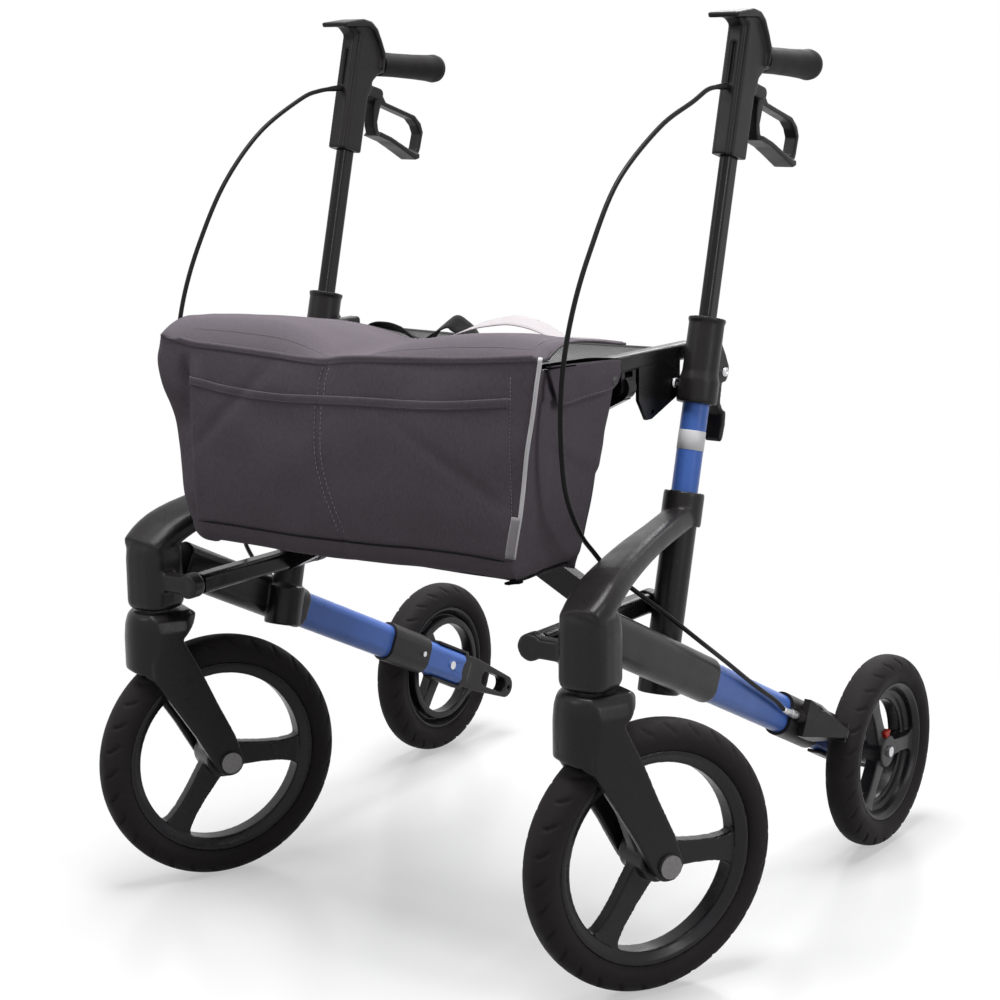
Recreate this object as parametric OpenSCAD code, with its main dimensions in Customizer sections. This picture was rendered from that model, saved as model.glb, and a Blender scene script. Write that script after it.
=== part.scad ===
// All terrain rollator: a folding walking frame with large casters, a seat and a bag.
// Lengths are in millimetres and angles in degrees. Front is -Y, the user's left is +X.

/* [Stance] */
// Distance from the caster pivots back to the rear axles
wheelbase = 564; // [540:1:600]
// Distance between the two caster pivots
caster_track = 577; // [560:1:600]
// Distance between the middles of the rear wheels
rear_track = 656; // [650:1:690]
// Angle by which both casters are turned
caster_turn = 25.6; // [0:0.1:40]

/* [Front wheels] */
// Diameter of a front wheel over its tyre
front_wheel_d = 280; // [270:1:284]
// Width of a front tyre
front_tyre_w = 41; // [34:1:43]
// Height of a front tyre above its rim
front_tyre_depth = 29; // [22:1:34]
// Depth of the ring of a front rim
front_rim_depth = 14; // [8:1:20]
// Diameter of a front hub
front_hub_d = 44; // [34:1:54]
// Diameter of a front axle
front_axle_d = 10; // [8:0.5:12]
// Distance from a caster pivot back to its axle
caster_trail = 67; // [60:1:72]

/* [Rear wheels] */
// Diameter of a rear wheel over its tyre
rear_wheel_d = 227; // [215:1:235]
// Width of a rear tyre
rear_tyre_w = 38; // [32:1:40]
// Height of a rear tyre above its rim
rear_tyre_depth = 31; // [24:1:34]
// Depth of the ring of a rear rim
rear_rim_depth = 9; // [6:1:14]
// Diameter of a rear hub
rear_hub_d = 38; // [34:1:44]
// Diameter of a rear axle
rear_axle_d = 12; // [10:0.5:14]

/* [Caster heads] */
// Height of the underside of a caster head over the top of its wheel
head_over_wheel = 42; // [38:1:50]
// Height of a caster head
head_h = 82; // [70:1:90]
// Diameter of a caster head
head_d = 55; // [52:1:60]
// Gap between a head and its fork
head_gap = 2; // [1:0.5:4]
// Width of a fork over both legs
fork_w = 76; // [72:1:84]
// Thickness of a fork leg
fork_leg_t = 11; // [8:1:13]
// Diameter of a caster stem
stem_d = 16; // [12:1:18]

/* [Posts] */
// Distance between the two posts
post_spacing = 516; // [512:1:524]
// Angle by which the posts lean back
post_lean = 14.2; // [12:0.1:16]
// Height of the foot of a post
post_foot_z = 268; // [262:1:274]
// Distance of a post's foot behind the caster pivots
post_foot_y = 175; // [170:1:182]
// Diameter of the lower sleeve of a post
sleeve_d = 35; // [33:1:36]
// Length of the lower sleeve of a post
sleeve_len = 207; // [200:1:215]
// Diameter of the painted post tube
post_tube_d = 28; // [27:0.5:29]
// Wall of the painted post tube
post_tube_wall = 1.6; // [1.2:0.1:1.8]
// Width of the sliding handle post
slider_w = 14; // [11:0.5:16]
// Depth of the sliding handle post
slider_d = 24; // [20:0.5:24.5]
// Diameter of the height clamp
clamp_d = 38; // [36:1:39]
// Length of the height clamp
clamp_len = 90; // [80:1:100]
// Distance along the post from its foot to the height clamp
clamp_at = 304; // [290:1:310]
// Distance along the post from its foot to the handle
handle_at = 562.5; // [540:0.5:575]

/* [Handles] */
// Height of a handle housing
handle_h = 154; // [146:1:164]
// Depth of a handle housing
handle_d = 40; // [36:1:44]
// Width of a handle housing
handle_w = 26; // [22:1:30]
// Width of the thumb rest on top of a handle
rest_w = 36; // [30:1:40]
// Length of a grip
grip_len = 114; // [108:1:130]
// Diameter of a grip at its neck
grip_d = 29; // [26:1:32]
// Diameter of a grip at its end
grip_end_d = 34; // [30:1:36]
// Width of the loop of a brake lever
lever_w = 15; // [12:1:16]
// Width of the finger plate of a brake lever
finger_w = 24; // [18:1:28]
// Diameter of a brake cable
cable_d = 5; // [4:0.5:5]

/* [Rails] */
// Distance between the two lower rails
rail_spacing = 564; // [560:1:570]
// Rise of the lower rails from the rear axles to the caster pivots
rail_rise = 270.2; // [262:0.1:276]
// Height of the painted rail tube
rail_tube_h = 43; // [40:1:45]
// Width of the painted rail tube
rail_tube_w = 24; // [22:1:25]
// Wall of the painted rail tube
rail_wall = 2; // [1.5:0.1:3]
// Height of the rail socket
socket_h = 49; // [48:1:54]
// Width of the rail socket
socket_w = 31; // [29:1:33]

/* [Fold] */
// Distance between the left and right fold pivots
pivot_spacing = 454; // [450:1:456]
// Height of the lower fold pivots over the undersides of the caster heads
lower_pivot_up = 34; // [30:1:40]
// Height of the upper fold pivots
upper_pivot_z = 590; // [584:1:592]
// Height of a cross link
link_h = 28; // [24:1:30]
// Thickness of a cross link
link_t = 14; // [10:1:15]
// Diameter of the fold pins
pin_d = 10; // [8:0.5:11]

/* [Seat] */
// Height of the top of the seat rails
seat_top = 623; // [620:1:628]
// Distance of the seat's front edge behind the caster pivots
seat_front_y = 30; // [20:1:50]
// Length of the seat
seat_len = 254; // [240:1:258]
// Width of a seat rail
seat_rail_w = 18; // [14:1:19]
// Height of a seat rail
seat_rail_h = 18; // [16:1:20]
// Thickness of the seat fabric
seat_t = 4; // [2:0.5:5]

/* [Bag] */
// How far the mouth of the bag reaches out beyond the fold pivots
bag_overhang = 13; // [8:1:16]
// How far each end of the bag leans in from mouth to floor
bag_taper = 33; // [26:1:42]
// Depth of the bag at its mouth
bag_top_d = 138; // [120:1:145]
// Depth of the bag at its floor
bag_low_d = 100; // [80:1:110]
// Height of the highest place of the bag's mouth
bag_top_z = 650; // [649:1:654]
// Height of the bag from floor to mouth
bag_h = 236; // [222:1:242]
// Thickness of the bag's wall
bag_wall = 3; // [2:0.5:5]
// Thickness of the bag's lid
flap_t = 5; // [3:0.5:5]
// Height of the valley across the bag's lid
flap_low_z = 618; // [618:0.5:622]
// Height of the lid's two lobes above its valley
flap_rise = 36; // [30:1:36]

/* [Hidden] */
$fn = 48;

black = "#2a2729";
blue = "#3a60a8";
rubber = "#232022";
steel = "#b9bbc0";
red = "#d8372a";
charcoal = "#4b4650";
pale = "#b8b8bc";

// Clearances: a fixed seat, a running fit, a gap between bodies, and the overrun of a cut
seat_gap = 0.05;
run_gap = 0.05;
body_gap = 0.4;
over = 1;

// Wheels
front_r = front_wheel_d / 2;
rear_r = rear_wheel_d / 2;
spoke_count = 3;
spoke_turn = -5;
tyre_power = 2.4;
bead_share = 0.8;
rim_lip_share = 0.35;
rim_neck_share = 0.32;
spoke_w = 24;
spoke_t = 16;
front_hub_w = 44;
rear_hub_w = 30;
rear_hub_out = 8;
rear_spoke_w = 18;
drum_d = 138;
drum_t = 9;
drum_w = 18;
web_t = 5;
// Spoke outline: share of the way from the axle to the rim, share of the spoke's width
spoke_shares = [[0, 1.3], [0.5, 1], [0.72, 1], [0.86, 1.2], [0.95, 1.6], [1, 2.2]];
arc_step = 15;
button_w = 10;
button_t = 8;
button_low = 10;
button_h = 15;
button_out = 7;
button_travel = 2;
button_head_w = 14;
button_head_h = 4;

// Places of the main lines
pivot_x = caster_track / 2;
rear_x = rear_track / 2;
post_x = post_spacing / 2;
rail_x = rail_spacing / 2;
fold_x = pivot_spacing / 2;
rail_pitch = atan2(rail_rise, wheelbase);
rail_len = norm([wheelbase, rail_rise]);
bag_top_w = pivot_spacing + 2 * bag_overhang;
bag_low_w = bag_top_w - 2 * bag_taper;
head_low_z = front_wheel_d + head_over_wheel;
head_top_z = head_low_z + head_h;
lower_pivot_z = head_low_z + lower_pivot_up;
front_reach = front_r - front_tyre_w / 2;
rest_left = pivot_x + (caster_trail + front_reach) * sin(caster_turn) + front_tyre_w / 2;
rest_right = rear_x + rear_tyre_w / 2;
rest_front = (caster_trail - front_reach) * cos(caster_turn) - front_tyre_w / 2;
rest_rear = wheelbase + rear_r;
centre_x = (rest_left - rest_right) / 2;
centre_y = (rest_front + rest_rear) / 2;

// Caster head, fork and stem
bearing_d = 34;
bearing_h = 11;
bearing_inset = 3;
head_roof = 14;
crown_len = 90;
crown_round_r = 42;
crown_back = 6;
crown_h = 66;
leg_end_r = 17;
shank_low_turn = 32;
shank_high_turn = 25;
tyre_gap = 5;
stem_grip = 26;
stem_flange_d = 28;
stem_flange_h = head_gap;
axle_head_d = 24;
axle_head_t = 4;
fork_top_z = head_low_z - head_gap;
// Fork outlines: places along the trail in lengths of the crown, heights in heights of the crown
crown_shares = [
    [-0.5, 1], [0.36, 1], [0.45, 0.91], [0.33, 0.73], [0.19, 0.54], [0.39, 0.02], [-0.19, -0.14],
    [-0.32, -0.04], [-0.5, 0.06]
];
// Dome round the crown: share of its radius, height in heights of the crown
dome_shares = [[0, 1], [0.8, 1], [0.9, 0.93], [0.97, 0.78], [1, 0.55], [1, -0.5], [0, -0.5]];
leg_rear_shares = [[0.19, 0.54], [0.39, 0.02], [0.62, -0.68], [0.83, -1.27]];
leg_front_shares = [[0.31, -1.2], [0.06, -0.67], [-0.19, -0.14], [-0.22, 0.12], [-0.1, 0.7]];
// Fork seen from the front: shares of its width, and heights in heights of the crown
fork_front_shares = [
    [-0.5, -4], [0.5, -4], [0.5, 0.68], [0.45, 0.88], [0.34, 1], [-0.34, 1], [-0.45, 0.88], [-0.5, 0.68]
];

// Arm from the head back to the post
arm_w = 54;
arm_h = 26;
arm_low = 22;
arm_power = 3.2;
arm_roll = 12;
head_power = 3.2;
head_grow = 4.5;
// Head from its foot to its top: share of its height, share of its width
head_shares = [
    [0, 0.82], [0.03, 0.93], [0.09, 1], [0.7, 1], [0.84, 0.96], [0.94, 0.84], [0.99, 0.66], [1, 0.5]
];
arm_sides = 20;
arm_steps = 2;
collar_d = 43;
collar_h = 36;
collar_at = 176;
collar_y = post_foot_y + (collar_at + collar_h / 2) * sin(post_lean);
collar_z = post_foot_z + (collar_at + collar_h / 2) * cos(post_lean);
arm_start_z = head_top_z - arm_low;
// Stations of the arm: share of the run back, of the rise, of the step inwards, of width and height
arm_shares = [
    [-0.09, 0.13, 0, 0.88, 0.9], [-0.02, 0.23, 0, 1, 1.08], [0.07, 0.37, 0.07, 1.02, 1.12],
    [0.19, 0.5, 0.21, 0.98, 1.04], [0.36, 0.615, 0.41, 0.91, 0.96], [0.54, 0.71, 0.61, 0.84, 0.92],
    [0.74, 0.79, 0.79, 0.76, 0.92], [0.95, 0.88, 0.97, 0.7, 1]
];
knob_d = 28;
knob_len = 18;
knob_front = 16;
knob_web_h = 20;
knob_web_in = 8;

// Lower casting: rail socket, post boss and rear lug
socket_len = 223;
socket_front = 37.4;
socket_top = rail_len - socket_front;
socket_low = socket_top - socket_len;
tube_seat = 26;
boss_d = 43;
boss_h = 46;
lug_d = 26;
lug_t = 16;
lug_gap = 2;
lug_web_h = 22;
lower_lean_y = post_foot_y + (lower_pivot_z - post_foot_z) * tan(post_lean);

// Rails and the kerb step
rail_end = 15;
step_len = 112;
step_w = 18;
step_tip_h = 30;
step_slot_from = 34;
step_slot_to = 94;
step_slot_h = 20;
step_hole_d = 6;
step_hole_at = 103;
step_insert = 58;
step_clip_t = 4;
step_clip_len = 62;
step_clip_w = 16;
axle_boss_d = 38;
axle_boss_in = 9;
axle_wall = 3;
axle_boss_out = 19;
rail_bolt_at = 46;
rail_bolt_d = 6;
bolt_head_d = 11;
bolt_head_t = 3;

// Brake bracket, shoe and cable adjuster
bracket_from = 104;
bracket_len = 80;
bracket_w = 33;
bracket_h = 50;
rivet_at = 118;
rivet_d = 7;
rivet_t = 2;
shoe_pivot_at = 150;
shoe_pivot_up = 18;
shoe_pin_d = 6;
shoe_pin_in = 4;
shoe_pin_len = 14;
shoe_base_w = 8;
shoe_base_from = 132;
shoe_base_len = 31;
shoe_base_low = -19;
shoe_base_h = 43;
shoe_tip_w = 6;
shoe_tip_len = 4;
shoe_tip_low = -7;
shoe_tip_h = 9;
pad_w = 21;
pad_t = 4;
pad_gap = 3.5;
pad_low = -12;
pad_h = 22;
adjuster_d = 9;
adjuster_len = 26;
adjuster_from = 176;
adjuster_x = 18;
adjuster_up = 2;
adjuster_lug_d = 15;
adjuster_lug_len = 10;

// Height clamp and its lever
clamp_seat = 18;
ear_w = 24;
ear_slot_w = 13.6;
ear_slot_h = 53;
ear_slot_from = 15;
clamp_pin_d = 6;
clamp_pin_back = 30;
clamp_pin_up = 38;
clamp_lever_w = 12.8;
paddle_w = 19;
lever_eye_d = 13;
clamp_bulge_d = 36;
// Clamp turned about the post: share of its diameter, share of its length
clamp_shares = [
    [0, 0], [0.54, 0], [0.56, 0.03], [0.56, 0.27], [0.5, 0.36], [0.49, 0.94], [0.52, 0.96], [0.52, 1], [0, 1]
];
// Rear bulge and lever of the clamp: share of the bulge's depth, share of the clamp's length
bulge_shares = [
    [0.2, 0.2], [0.75, 0.28], [1, 0.32], [1.09, 0.4], [1.07, 0.5], [0.8, 0.62], [0.53, 0.72], [0.2, 0.84]
];
lever_neck_shares = [[0.64, 0.37], [1.03, 0.47], [1.1, 0.07], [1.37, -0.03], [1.2, -0.08], [0.86, 0.045]];
lever_paddle_shares = [
    [1.14, -0.01], [1.36, -0.02], [1.43, -0.167], [1.38, -0.345], [1.29, -0.39], [1.18, -0.345],
    [1.22, -0.167]
];

// Handle: outlines are shares of the housing's depth behind the post line and of its height
slider_seat = 14;
slider_from = 240;
slider_wall = 1.8;
post_tube_from = 8;
post_tube_top = clamp_at + clamp_seat - over;
housing_shares = [
    [-0.4, 0], [0.36, 0], [0.36, 0.47], [0.5, 0.575], [0.74, 0.64], [0.95, 0.66], [0.99, 0.8], [0.77, 0.8],
    [0.42, 0.855], [0.08, 0.937], [-0.18, 0.949], [-0.72, 0.912], [-0.4, 0.882]
];
nose_shares = [[-0.535, 0], [-0.2, 0], [-0.2, 0.93], [-0.82, 0.9], [-0.535, 0.86]];
rest_shares = [
    [-1.32, 0.903], [-0.42, 0.99], [-0.05, 0.995], [0.24, 0.961], [0.52, 0.881], [0.77, 0.798], [0.79, 0.7],
    [0.7, 0.66], [0.69, 0.755], [0.42, 0.852], [0.08, 0.935], [-0.18, 0.947], [-1.04, 0.888], [-1.23, 0.872]
];
nose_w = 18;
housing_slot_w = 4;
housing_slot_d = 3;
housing_slot_from = 73;
housing_slot_h = 44;
grip_core_d = 18;
grip_rise = 11;
grip_back = 38;
grip_up = 112.9;
grip_core_in = 24;
grip_cap = 8;
// Grip outline: share of its length, share of the way from neck radius to end radius
grip_shares = [[0, 0], [0.25, -0.15], [0.6, 0.1], [0.85, 0.55], [0.95, 1], [1, 0.6]];
hinge_back = 36;
hinge_up = 76;
hinge_d = 6;
hinge_eye_d = 14;
hinge_ear_t = 4;
hinge_gap = 0.5;
// Brake lever outlines: shares of the lever's length behind the post line and of its height
lever_len = 148;
lever_h = 84;
lever_shares = [
    [0.24, 0.96], [0.31, 0.93], [0.37, 0.84], [0.763, 0.813], [0.857, 0.733], [0.904, 0.62], [0.895, 0.367],
    [0.87, 0.22], [0.82, 0.18], [0.676, 0.238], [0.473, 0.31], [0.29, 0.33], [0.25, 0.45], [0.225, 0.7]
];
lever_hole_shares = [
    [0.31, 0.785], [0.743, 0.75], [0.82, 0.68], [0.865, 0.583], [0.857, 0.369], [0.818, 0.286],
    [0.669, 0.32], [0.473, 0.385], [0.324, 0.405], [0.295, 0.53]
];
finger_shares = [
    [0.87, 0.22], [0.82, 0.18], [0.676, 0.238], [0.473, 0.31], [0.29, 0.33], [0.32, 0.4], [0.473, 0.38],
    [0.669, 0.315], [0.818, 0.28], [0.86, 0.29]
];

// Cable routes from the handle down to the arm, measured from the caster pivots' line
left_cable_drop = [
    [258, 308, 886.4], [259, 270, 884.4], [260, 235, 872], [260, 170, 848], [262, 90, 799], [264, 38, 736],
    [264, 8, 682], [262, -6, 627], [258, -4, 569], [252, 13, 508], [246, 46, 462], [241, 80, 434],
    [246, 102, 411], [262, 120, 391]
];
right_cable_drop = [
    [258, 308, 886.4], [259, 270, 883.4], [260, 236, 874], [262, 168, 839], [264, 110, 786], [264, 66, 723],
    [263, 37, 666], [260, 20, 610], [256, 14, 560], [251, 24, 505], [246, 50, 461], [241, 80, 434],
    [246, 102, 411], [262, 120, 391]
];
// Cable beside the rail: place outside the rail's middle, place above it, share of the rail's length
cable_rail_shares = [
    [1, 45.3, 0.776], [18, 30.5, 0.688], [20, 22.9, 0.599], [21, 12.6, 0.478], [20, 7.2, 0.385]
];
cable_lead = 16;
cable_sides = 8;
cable_steps = 3;
round_power = 2;

// Cross links and the seat
bar_d = 21.5;
bar_from = 5;
link_a_y = 130;
link_gap = 3;
link_b_y = link_a_y + link_t + link_gap;
eye_d = 26;
cross_d = 10;
cross_head_d = 20;
cross_head_t = 4;
fold_span = norm([pivot_spacing, upper_pivot_z - lower_pivot_z]);
fold_angle = atan2(upper_pivot_z - lower_pivot_z, pivot_spacing);
seat_lug_t = 6;
seat_lug_w = 16;
seat_lug_gap = 0.5;
seat_drop = 8;
plate_t = 4;
plate_drop = 74;
plate_bolt_d = 10;
plate_bolt_t = 1.5;
plate_hole_d = 6;
// Plate under a seat rail: share of the seat's length, share of the drop below the rail's top
plate_shares = [[0.56, 0.2], [0.88, 0.2], [0.88, 0.7], [0.66, 0.96], [0.62, 0.96], [0.56, 0.66]];
plate_bolt_shares = [0.83, 0.52];
plate_hole_shares = [0.665, 0.86];
band_w = 36;
band_t = 0.6;
pull_w = 26;
pull_t = 3;
pull_at = 150;
pull_x = -30;
pull_run = 130;
pull_rise = 26;
pull_shares = [[-0.5, 0], [-0.4, 0.2], [-0.2, 0.75], [0, 1], [0.2, 0.75], [0.4, 0.2], [0.5, 0]];

// Bag, lid and carry strap
bag_front_y = -14;
bag_low_back = 6;
bag_rim = 4;
bag_floor = 4;
bag_gap = 0.35;
flap_in = 2;
flap_len = 132;
flap_half = bag_top_w / 2 + over;
// Lid: share of half its width, then shares of its rise along the front edge and along the rear edge
flap_shares = [
    [-1, 0.62, 0.42], [-0.97, 0.78, 0.5], [-0.77, 0.92, 0.58], [-0.48, 0.94, 0.64], [-0.28, 0.78, 0.53],
    [-0.14, 0.36, 0.34], [-0.06, 0.02, 0.22], [0.02, 0.08, 0.25], [0.2, 0.52, 0.44], [0.47, 0.86, 0.57],
    [0.72, 1, 0.58], [0.95, 0.86, 0.56], [1, 0.64, 0.44]
];
strap_w = 20;
strap_t = 2;
strap_steps = 2;
strap_from = 64;
strap_run = 120;
strap_rise = 18;
strap_in = 16;
strap_shares = [[0, 0], [0.06, 0.3], [0.28, 0.85], [0.5, 1], [0.72, 0.85], [0.94, 0.3], [1, 0]];

// Vectors, curves and lofts
function unit(v) = v / norm(v);
function spow(v, e) = sign(v) * pow(abs(v), e);
function spline_at(p, i, t) =
    let(
        a = p[max(i - 1, 0)],
        b = p[i],
        c = p[min(i + 1, len(p) - 1)],
        d = p[min(i + 2, len(p) - 1)]
    )
    (2 * b + (c - a) * t + (2 * a - 5 * b + 4 * c - d) * t * t + (3 * b - a - 3 * c + d) * t * t * t) / 2;
function smooth(p, steps) = concat(
    [for (i = [0 : len(p) - 2], k = [0 : steps - 1]) spline_at(p, i, k / steps)],
    [p[len(p) - 1]]
);
function spot(p) = [p[0], p[1], p[2]];
function heading(p, i) = unit(spot(p[min(i + 1, len(p) - 1)]) - spot(p[max(i - 1, 0)]));
function ring(c, t, w, h, power, sides, roll) =
    let(
        flat = unit([1, 0, 0] - t[0] * t),
        square_up = cross(t, flat),
        across = flat * cos(roll) + square_up * sin(roll),
        up = square_up * cos(roll) - flat * sin(roll)
    )
    [for (k = [0 : sides - 1])
        c + across * w * spow(cos(360 * k / sides), 2 / power)
            + up * h * spow(sin(360 * k / sides), 2 / power)];
// Rings along a path of [x, y, z, half width, half height]
function rings(path, power, sides, roll = 0) =
    [for (i = [0 : len(path) - 1])
        ring(spot(path[i]), heading(path, i), path[i][3], path[i][4], power, sides, roll)];
function scaled(shares, a, b) = [for (p = shares) [p[0] * a, p[1] * b]];

module loft(r) {
    n = len(r[0]);
    m = len(r);
    points = [for (ring = r, p = ring) p];
    walls = [for (i = [0 : m - 2], k = [0 : n - 1]) each [
        [i * n + k, (i + 1) * n + k, (i + 1) * n + (k + 1) % n],
        [i * n + k, (i + 1) * n + (k + 1) % n, i * n + (k + 1) % n]
    ]];
    caps = [[for (k = [0 : n - 1]) k], [for (k = [0 : n - 1]) m * n - 1 - k]];
    polyhedron(points, concat(walls, caps));
}

// A sheet between the points of its top and of its underside, in rows from front to back
module sheet(tops, lows) {
    rows = len(tops);
    cols = len(tops[0]);
    n = rows * cols;
    last = n - cols;
    points = concat([for (r = tops, p = r) p], [for (r = lows, p = r) p]);
    skin = [for (i = [0 : rows - 2], k = [0 : cols - 2]) each [
        [i * cols + k, (i + 1) * cols + k, (i + 1) * cols + k + 1],
        [i * cols + k, (i + 1) * cols + k + 1, i * cols + k + 1]
    ]];
    under = [for (f = skin) [f[0] + n, f[2] + n, f[1] + n]];
    ends = [for (k = [0 : cols - 2]) each [
        [k, k + 1, k + 1 + n, k + n],
        [last + k + 1, last + k, last + k + n, last + k + 1 + n]
    ]];
    sides = [for (i = [0 : rows - 2]) each [
        [i * cols, i * cols + n, (i + 1) * cols + n, (i + 1) * cols],
        [(i + 1) * cols - 1, (i + 2) * cols - 1, (i + 2) * cols - 1 + n, (i + 1) * cols - 1 + n]
    ]];
    polyhedron(points, concat(skin, under, ends, sides));
}

// Frames: the whole part, a post, a rail, a caster and a rear wheel
module placed(s) {
    translate([-centre_x, -centre_y, 0]) mirror([s < 0 ? 1 : 0, 0, 0]) children();
}
module on_post(s) {
    placed(s) translate([post_x, post_foot_y, post_foot_z]) rotate([-post_lean, 0, 0]) children();
}
module on_handle(s) {
    on_post(s) translate([0, 0, handle_at]) children();
}
module on_rail(s) {
    placed(s) translate([rail_x, wheelbase, rear_r]) rotate([90 - rail_pitch, 0, 0]) children();
}
module on_caster(s) {
    translate([s * pivot_x - centre_x, -centre_y, 0]) rotate([0, 0, -caster_turn]) children();
}
module on_front_axle(s) {
    on_caster(s) translate([0, caster_trail, front_r]) rotate([0, 90, 0]) children();
}
module on_rear_axle(s) {
    placed(s) translate([rear_x, wheelbase, rear_r]) rotate([0, 90, 0]) children();
}
// Draws an outline of the plane Y, Z and makes it w wide along X
module across(w) {
    rotate([90, 0, 90]) linear_extrude(w, center = true) children();
}
// A rod or hole along X through the place y, z
module crossways(y, z, d, w) {
    translate([0, y, z]) rotate([0, 90, 0]) cylinder(d = d, h = w, center = true);
}
// A rod or hole along Y from the place x, y, z
module lengthways(x, y, z, d, h) {
    translate([x, y, z]) rotate([-90, 0, 0]) cylinder(d = d, h = h);
}
module stadium(w, h) {
    square([w, h - w], center = true);
    for (e = [-1, 1]) translate([0, e * (h - w) / 2]) circle(d = w);
}
module stadium_bar(w, h, from, length) {
    translate([0, 0, from]) linear_extrude(length) stadium(w, h);
}

// Wheels
function tyre_section(r, w, depth) = concat(
    [[r - depth, -w / 2 * bead_share]],
    [for (a = [-90 : arc_step : 90])
        [r - w / 2 + w / 2 * spow(cos(a), 2 / tyre_power), w / 2 * spow(sin(a), 2 / tyre_power)]],
    [[r - depth, w / 2 * bead_share]]
);
function rim_section(r, depth, w) = [
    [r - depth, -w * rim_neck_share], [r - depth * rim_lip_share, -w / 2], [r, -w / 2],
    [r, w / 2], [r - depth * rim_lip_share, w / 2], [r - depth, w * rim_neck_share]
];
module wheel_rim(r, depth, w, spoke) {
    reach = r - depth / 2;
    side = [for (p = spoke_shares) [p[0] * reach, p[1] * spoke / 2]];
    rotate_extrude() polygon(rim_section(r, depth, w));
    for (k = [0 : spoke_count - 1]) rotate(90 + spoke_turn + 360 * k / spoke_count)
        linear_extrude(spoke_t, center = true)
        polygon(concat(side, [for (k = [len(side) - 1 : -1 : 0]) [side[k][0], -side[k][1]]]));
}
module front_tyre(s) {
    color(rubber) on_front_axle(s) rotate_extrude()
        polygon(tyre_section(front_r, front_tyre_w, front_tyre_depth));
}
module front_rim(s) {
    color(black) on_front_axle(s) difference() {
        union() {
            wheel_rim(front_r - front_tyre_depth - seat_gap, front_rim_depth, front_tyre_w * bead_share,
                spoke_w);
            cylinder(d = front_hub_d, h = front_hub_w, center = true);
        }
        cylinder(d = front_axle_d + 2 * run_gap, h = front_hub_w + over, center = true);
    }
}
module front_axle(s) {
    color(steel) on_front_axle(s) {
        cylinder(d = front_axle_d, h = fork_w + axle_head_t, center = true);
        for (e = [-1, 1]) translate([0, 0, e * (fork_w + axle_head_t) / 2])
            cylinder(d = axle_head_d, h = axle_head_t, center = true);
    }
}
module rear_tyre(s) {
    color(rubber) on_rear_axle(s) rotate_extrude()
        polygon(tyre_section(rear_r, rear_tyre_w, rear_tyre_depth));
}
// The release button stands in a slot of the rear hub; the same form, grown, makes the slot
module button_form(gap, deeper) {
    translate([-button_low - button_h / 2 + deeper / 2, 0, button_out])
        cube([button_h + deeper, button_w + 2 * gap, button_t + 2 * gap], center = true);
    translate([-button_low - button_h + button_head_h / 2 + deeper / 2, 0, button_out])
        cube([button_head_h + deeper + 2 * gap, button_head_w + 2 * gap, button_t + 2 * gap], center = true);
}
// Drum inside the rear wheel, with the web that joins it to the rim
function drum_section() =
    let(
        out = drum_d / 2,
        rim = rear_r - rear_tyre_depth - rear_rim_depth / 2
    )
    [[out - drum_t, -drum_w], [out, -drum_w], [out, -web_t], [rim, -web_t], [rim, web_t],
        [out, 0], [out - drum_t, 0]];
module rear_rim(s) {
    color(black) on_rear_axle(s) difference() {
        union() {
            wheel_rim(rear_r - rear_tyre_depth - seat_gap, rear_rim_depth, rear_tyre_w * bead_share,
                rear_spoke_w);
            translate([0, 0, rear_hub_out - rear_hub_w])
                cylinder(d = rear_hub_d, h = rear_hub_w + button_t / 2);
            rotate_extrude() polygon(drum_section());
        }
        translate([0, 0, rear_hub_out - rear_hub_w - over])
            cylinder(d = rear_axle_d + 2 * run_gap, h = 2 * rear_hub_w);
        button_form(body_gap, button_travel + body_gap);
    }
}
module release_button(s) {
    color(red) on_rear_axle(s) button_form(0, 0);
}

// Casters
module caster_fork(s) {
    half_gap = fork_w / 2 - fork_leg_t;
    crown_low = fork_top_z - crown_h;
    crown = [for (p = crown_shares) [p[0] * crown_len, crown_low + p[1] * crown_h]];
    front = [for (p = fork_front_shares) [p[0] * fork_w, crown_low + p[1] * crown_h]];
    leg = concat(
        [for (p = leg_rear_shares) [p[0] * crown_len, crown_low + p[1] * crown_h]],
        [[caster_trail + leg_end_r * cos(shank_high_turn), front_r + leg_end_r * sin(shank_high_turn)],
         [caster_trail - leg_end_r * cos(shank_low_turn), front_r - leg_end_r * sin(shank_low_turn)]],
        [for (p = leg_front_shares) [p[0] * crown_len, crown_low + p[1] * crown_h]]
    );
    color(black) on_caster(s) difference() {
        intersection() {
            union() {
                intersection() {
                    across(fork_w) polygon(crown);
                    translate([0, crown_back, crown_low])
                        rotate_extrude() polygon(scaled(dome_shares, crown_round_r, crown_h));
                }
                for (e = [-1, 1]) translate([e * (half_gap + fork_leg_t / 2), 0, 0]) {
                    across(fork_leg_t) polygon(leg);
                    crossways(caster_trail, front_r, 2 * leg_end_r, fork_leg_t);
                }
            }
            rotate([90, 0, 0]) linear_extrude(2 * front_wheel_d, center = true) polygon(front);
        }
        crossways(caster_trail, front_r, 2 * (front_r + tyre_gap), 2 * half_gap);
        crossways(caster_trail, front_r, front_axle_d + 2 * seat_gap, fork_w + over);
        translate([0, 0, fork_top_z - stem_grip]) cylinder(d = stem_d + 2 * seat_gap, h = stem_grip + over);
    }
}
module caster_stem(s) {
    top = head_top_z - head_roof - bearing_inset;
    color(steel) on_caster(s) {
        translate([0, 0, fork_top_z - stem_grip]) cylinder(d = stem_d, h = top - fork_top_z + stem_grip);
        translate([0, 0, fork_top_z]) cylinder(d = stem_flange_d, h = stem_flange_h);
    }
}
module head_bearings(s) {
    high = head_top_z - head_roof - bearing_inset - bearing_h;
    color(steel) on_caster(s) for (z = [head_low_z + bearing_inset, high]) translate([0, 0, z])
        difference() {
            cylinder(d = bearing_d, h = bearing_h);
            translate([0, 0, -over]) cylinder(d = stem_d + 2 * run_gap, h = bearing_h + 2 * over);
        }
}

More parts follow.
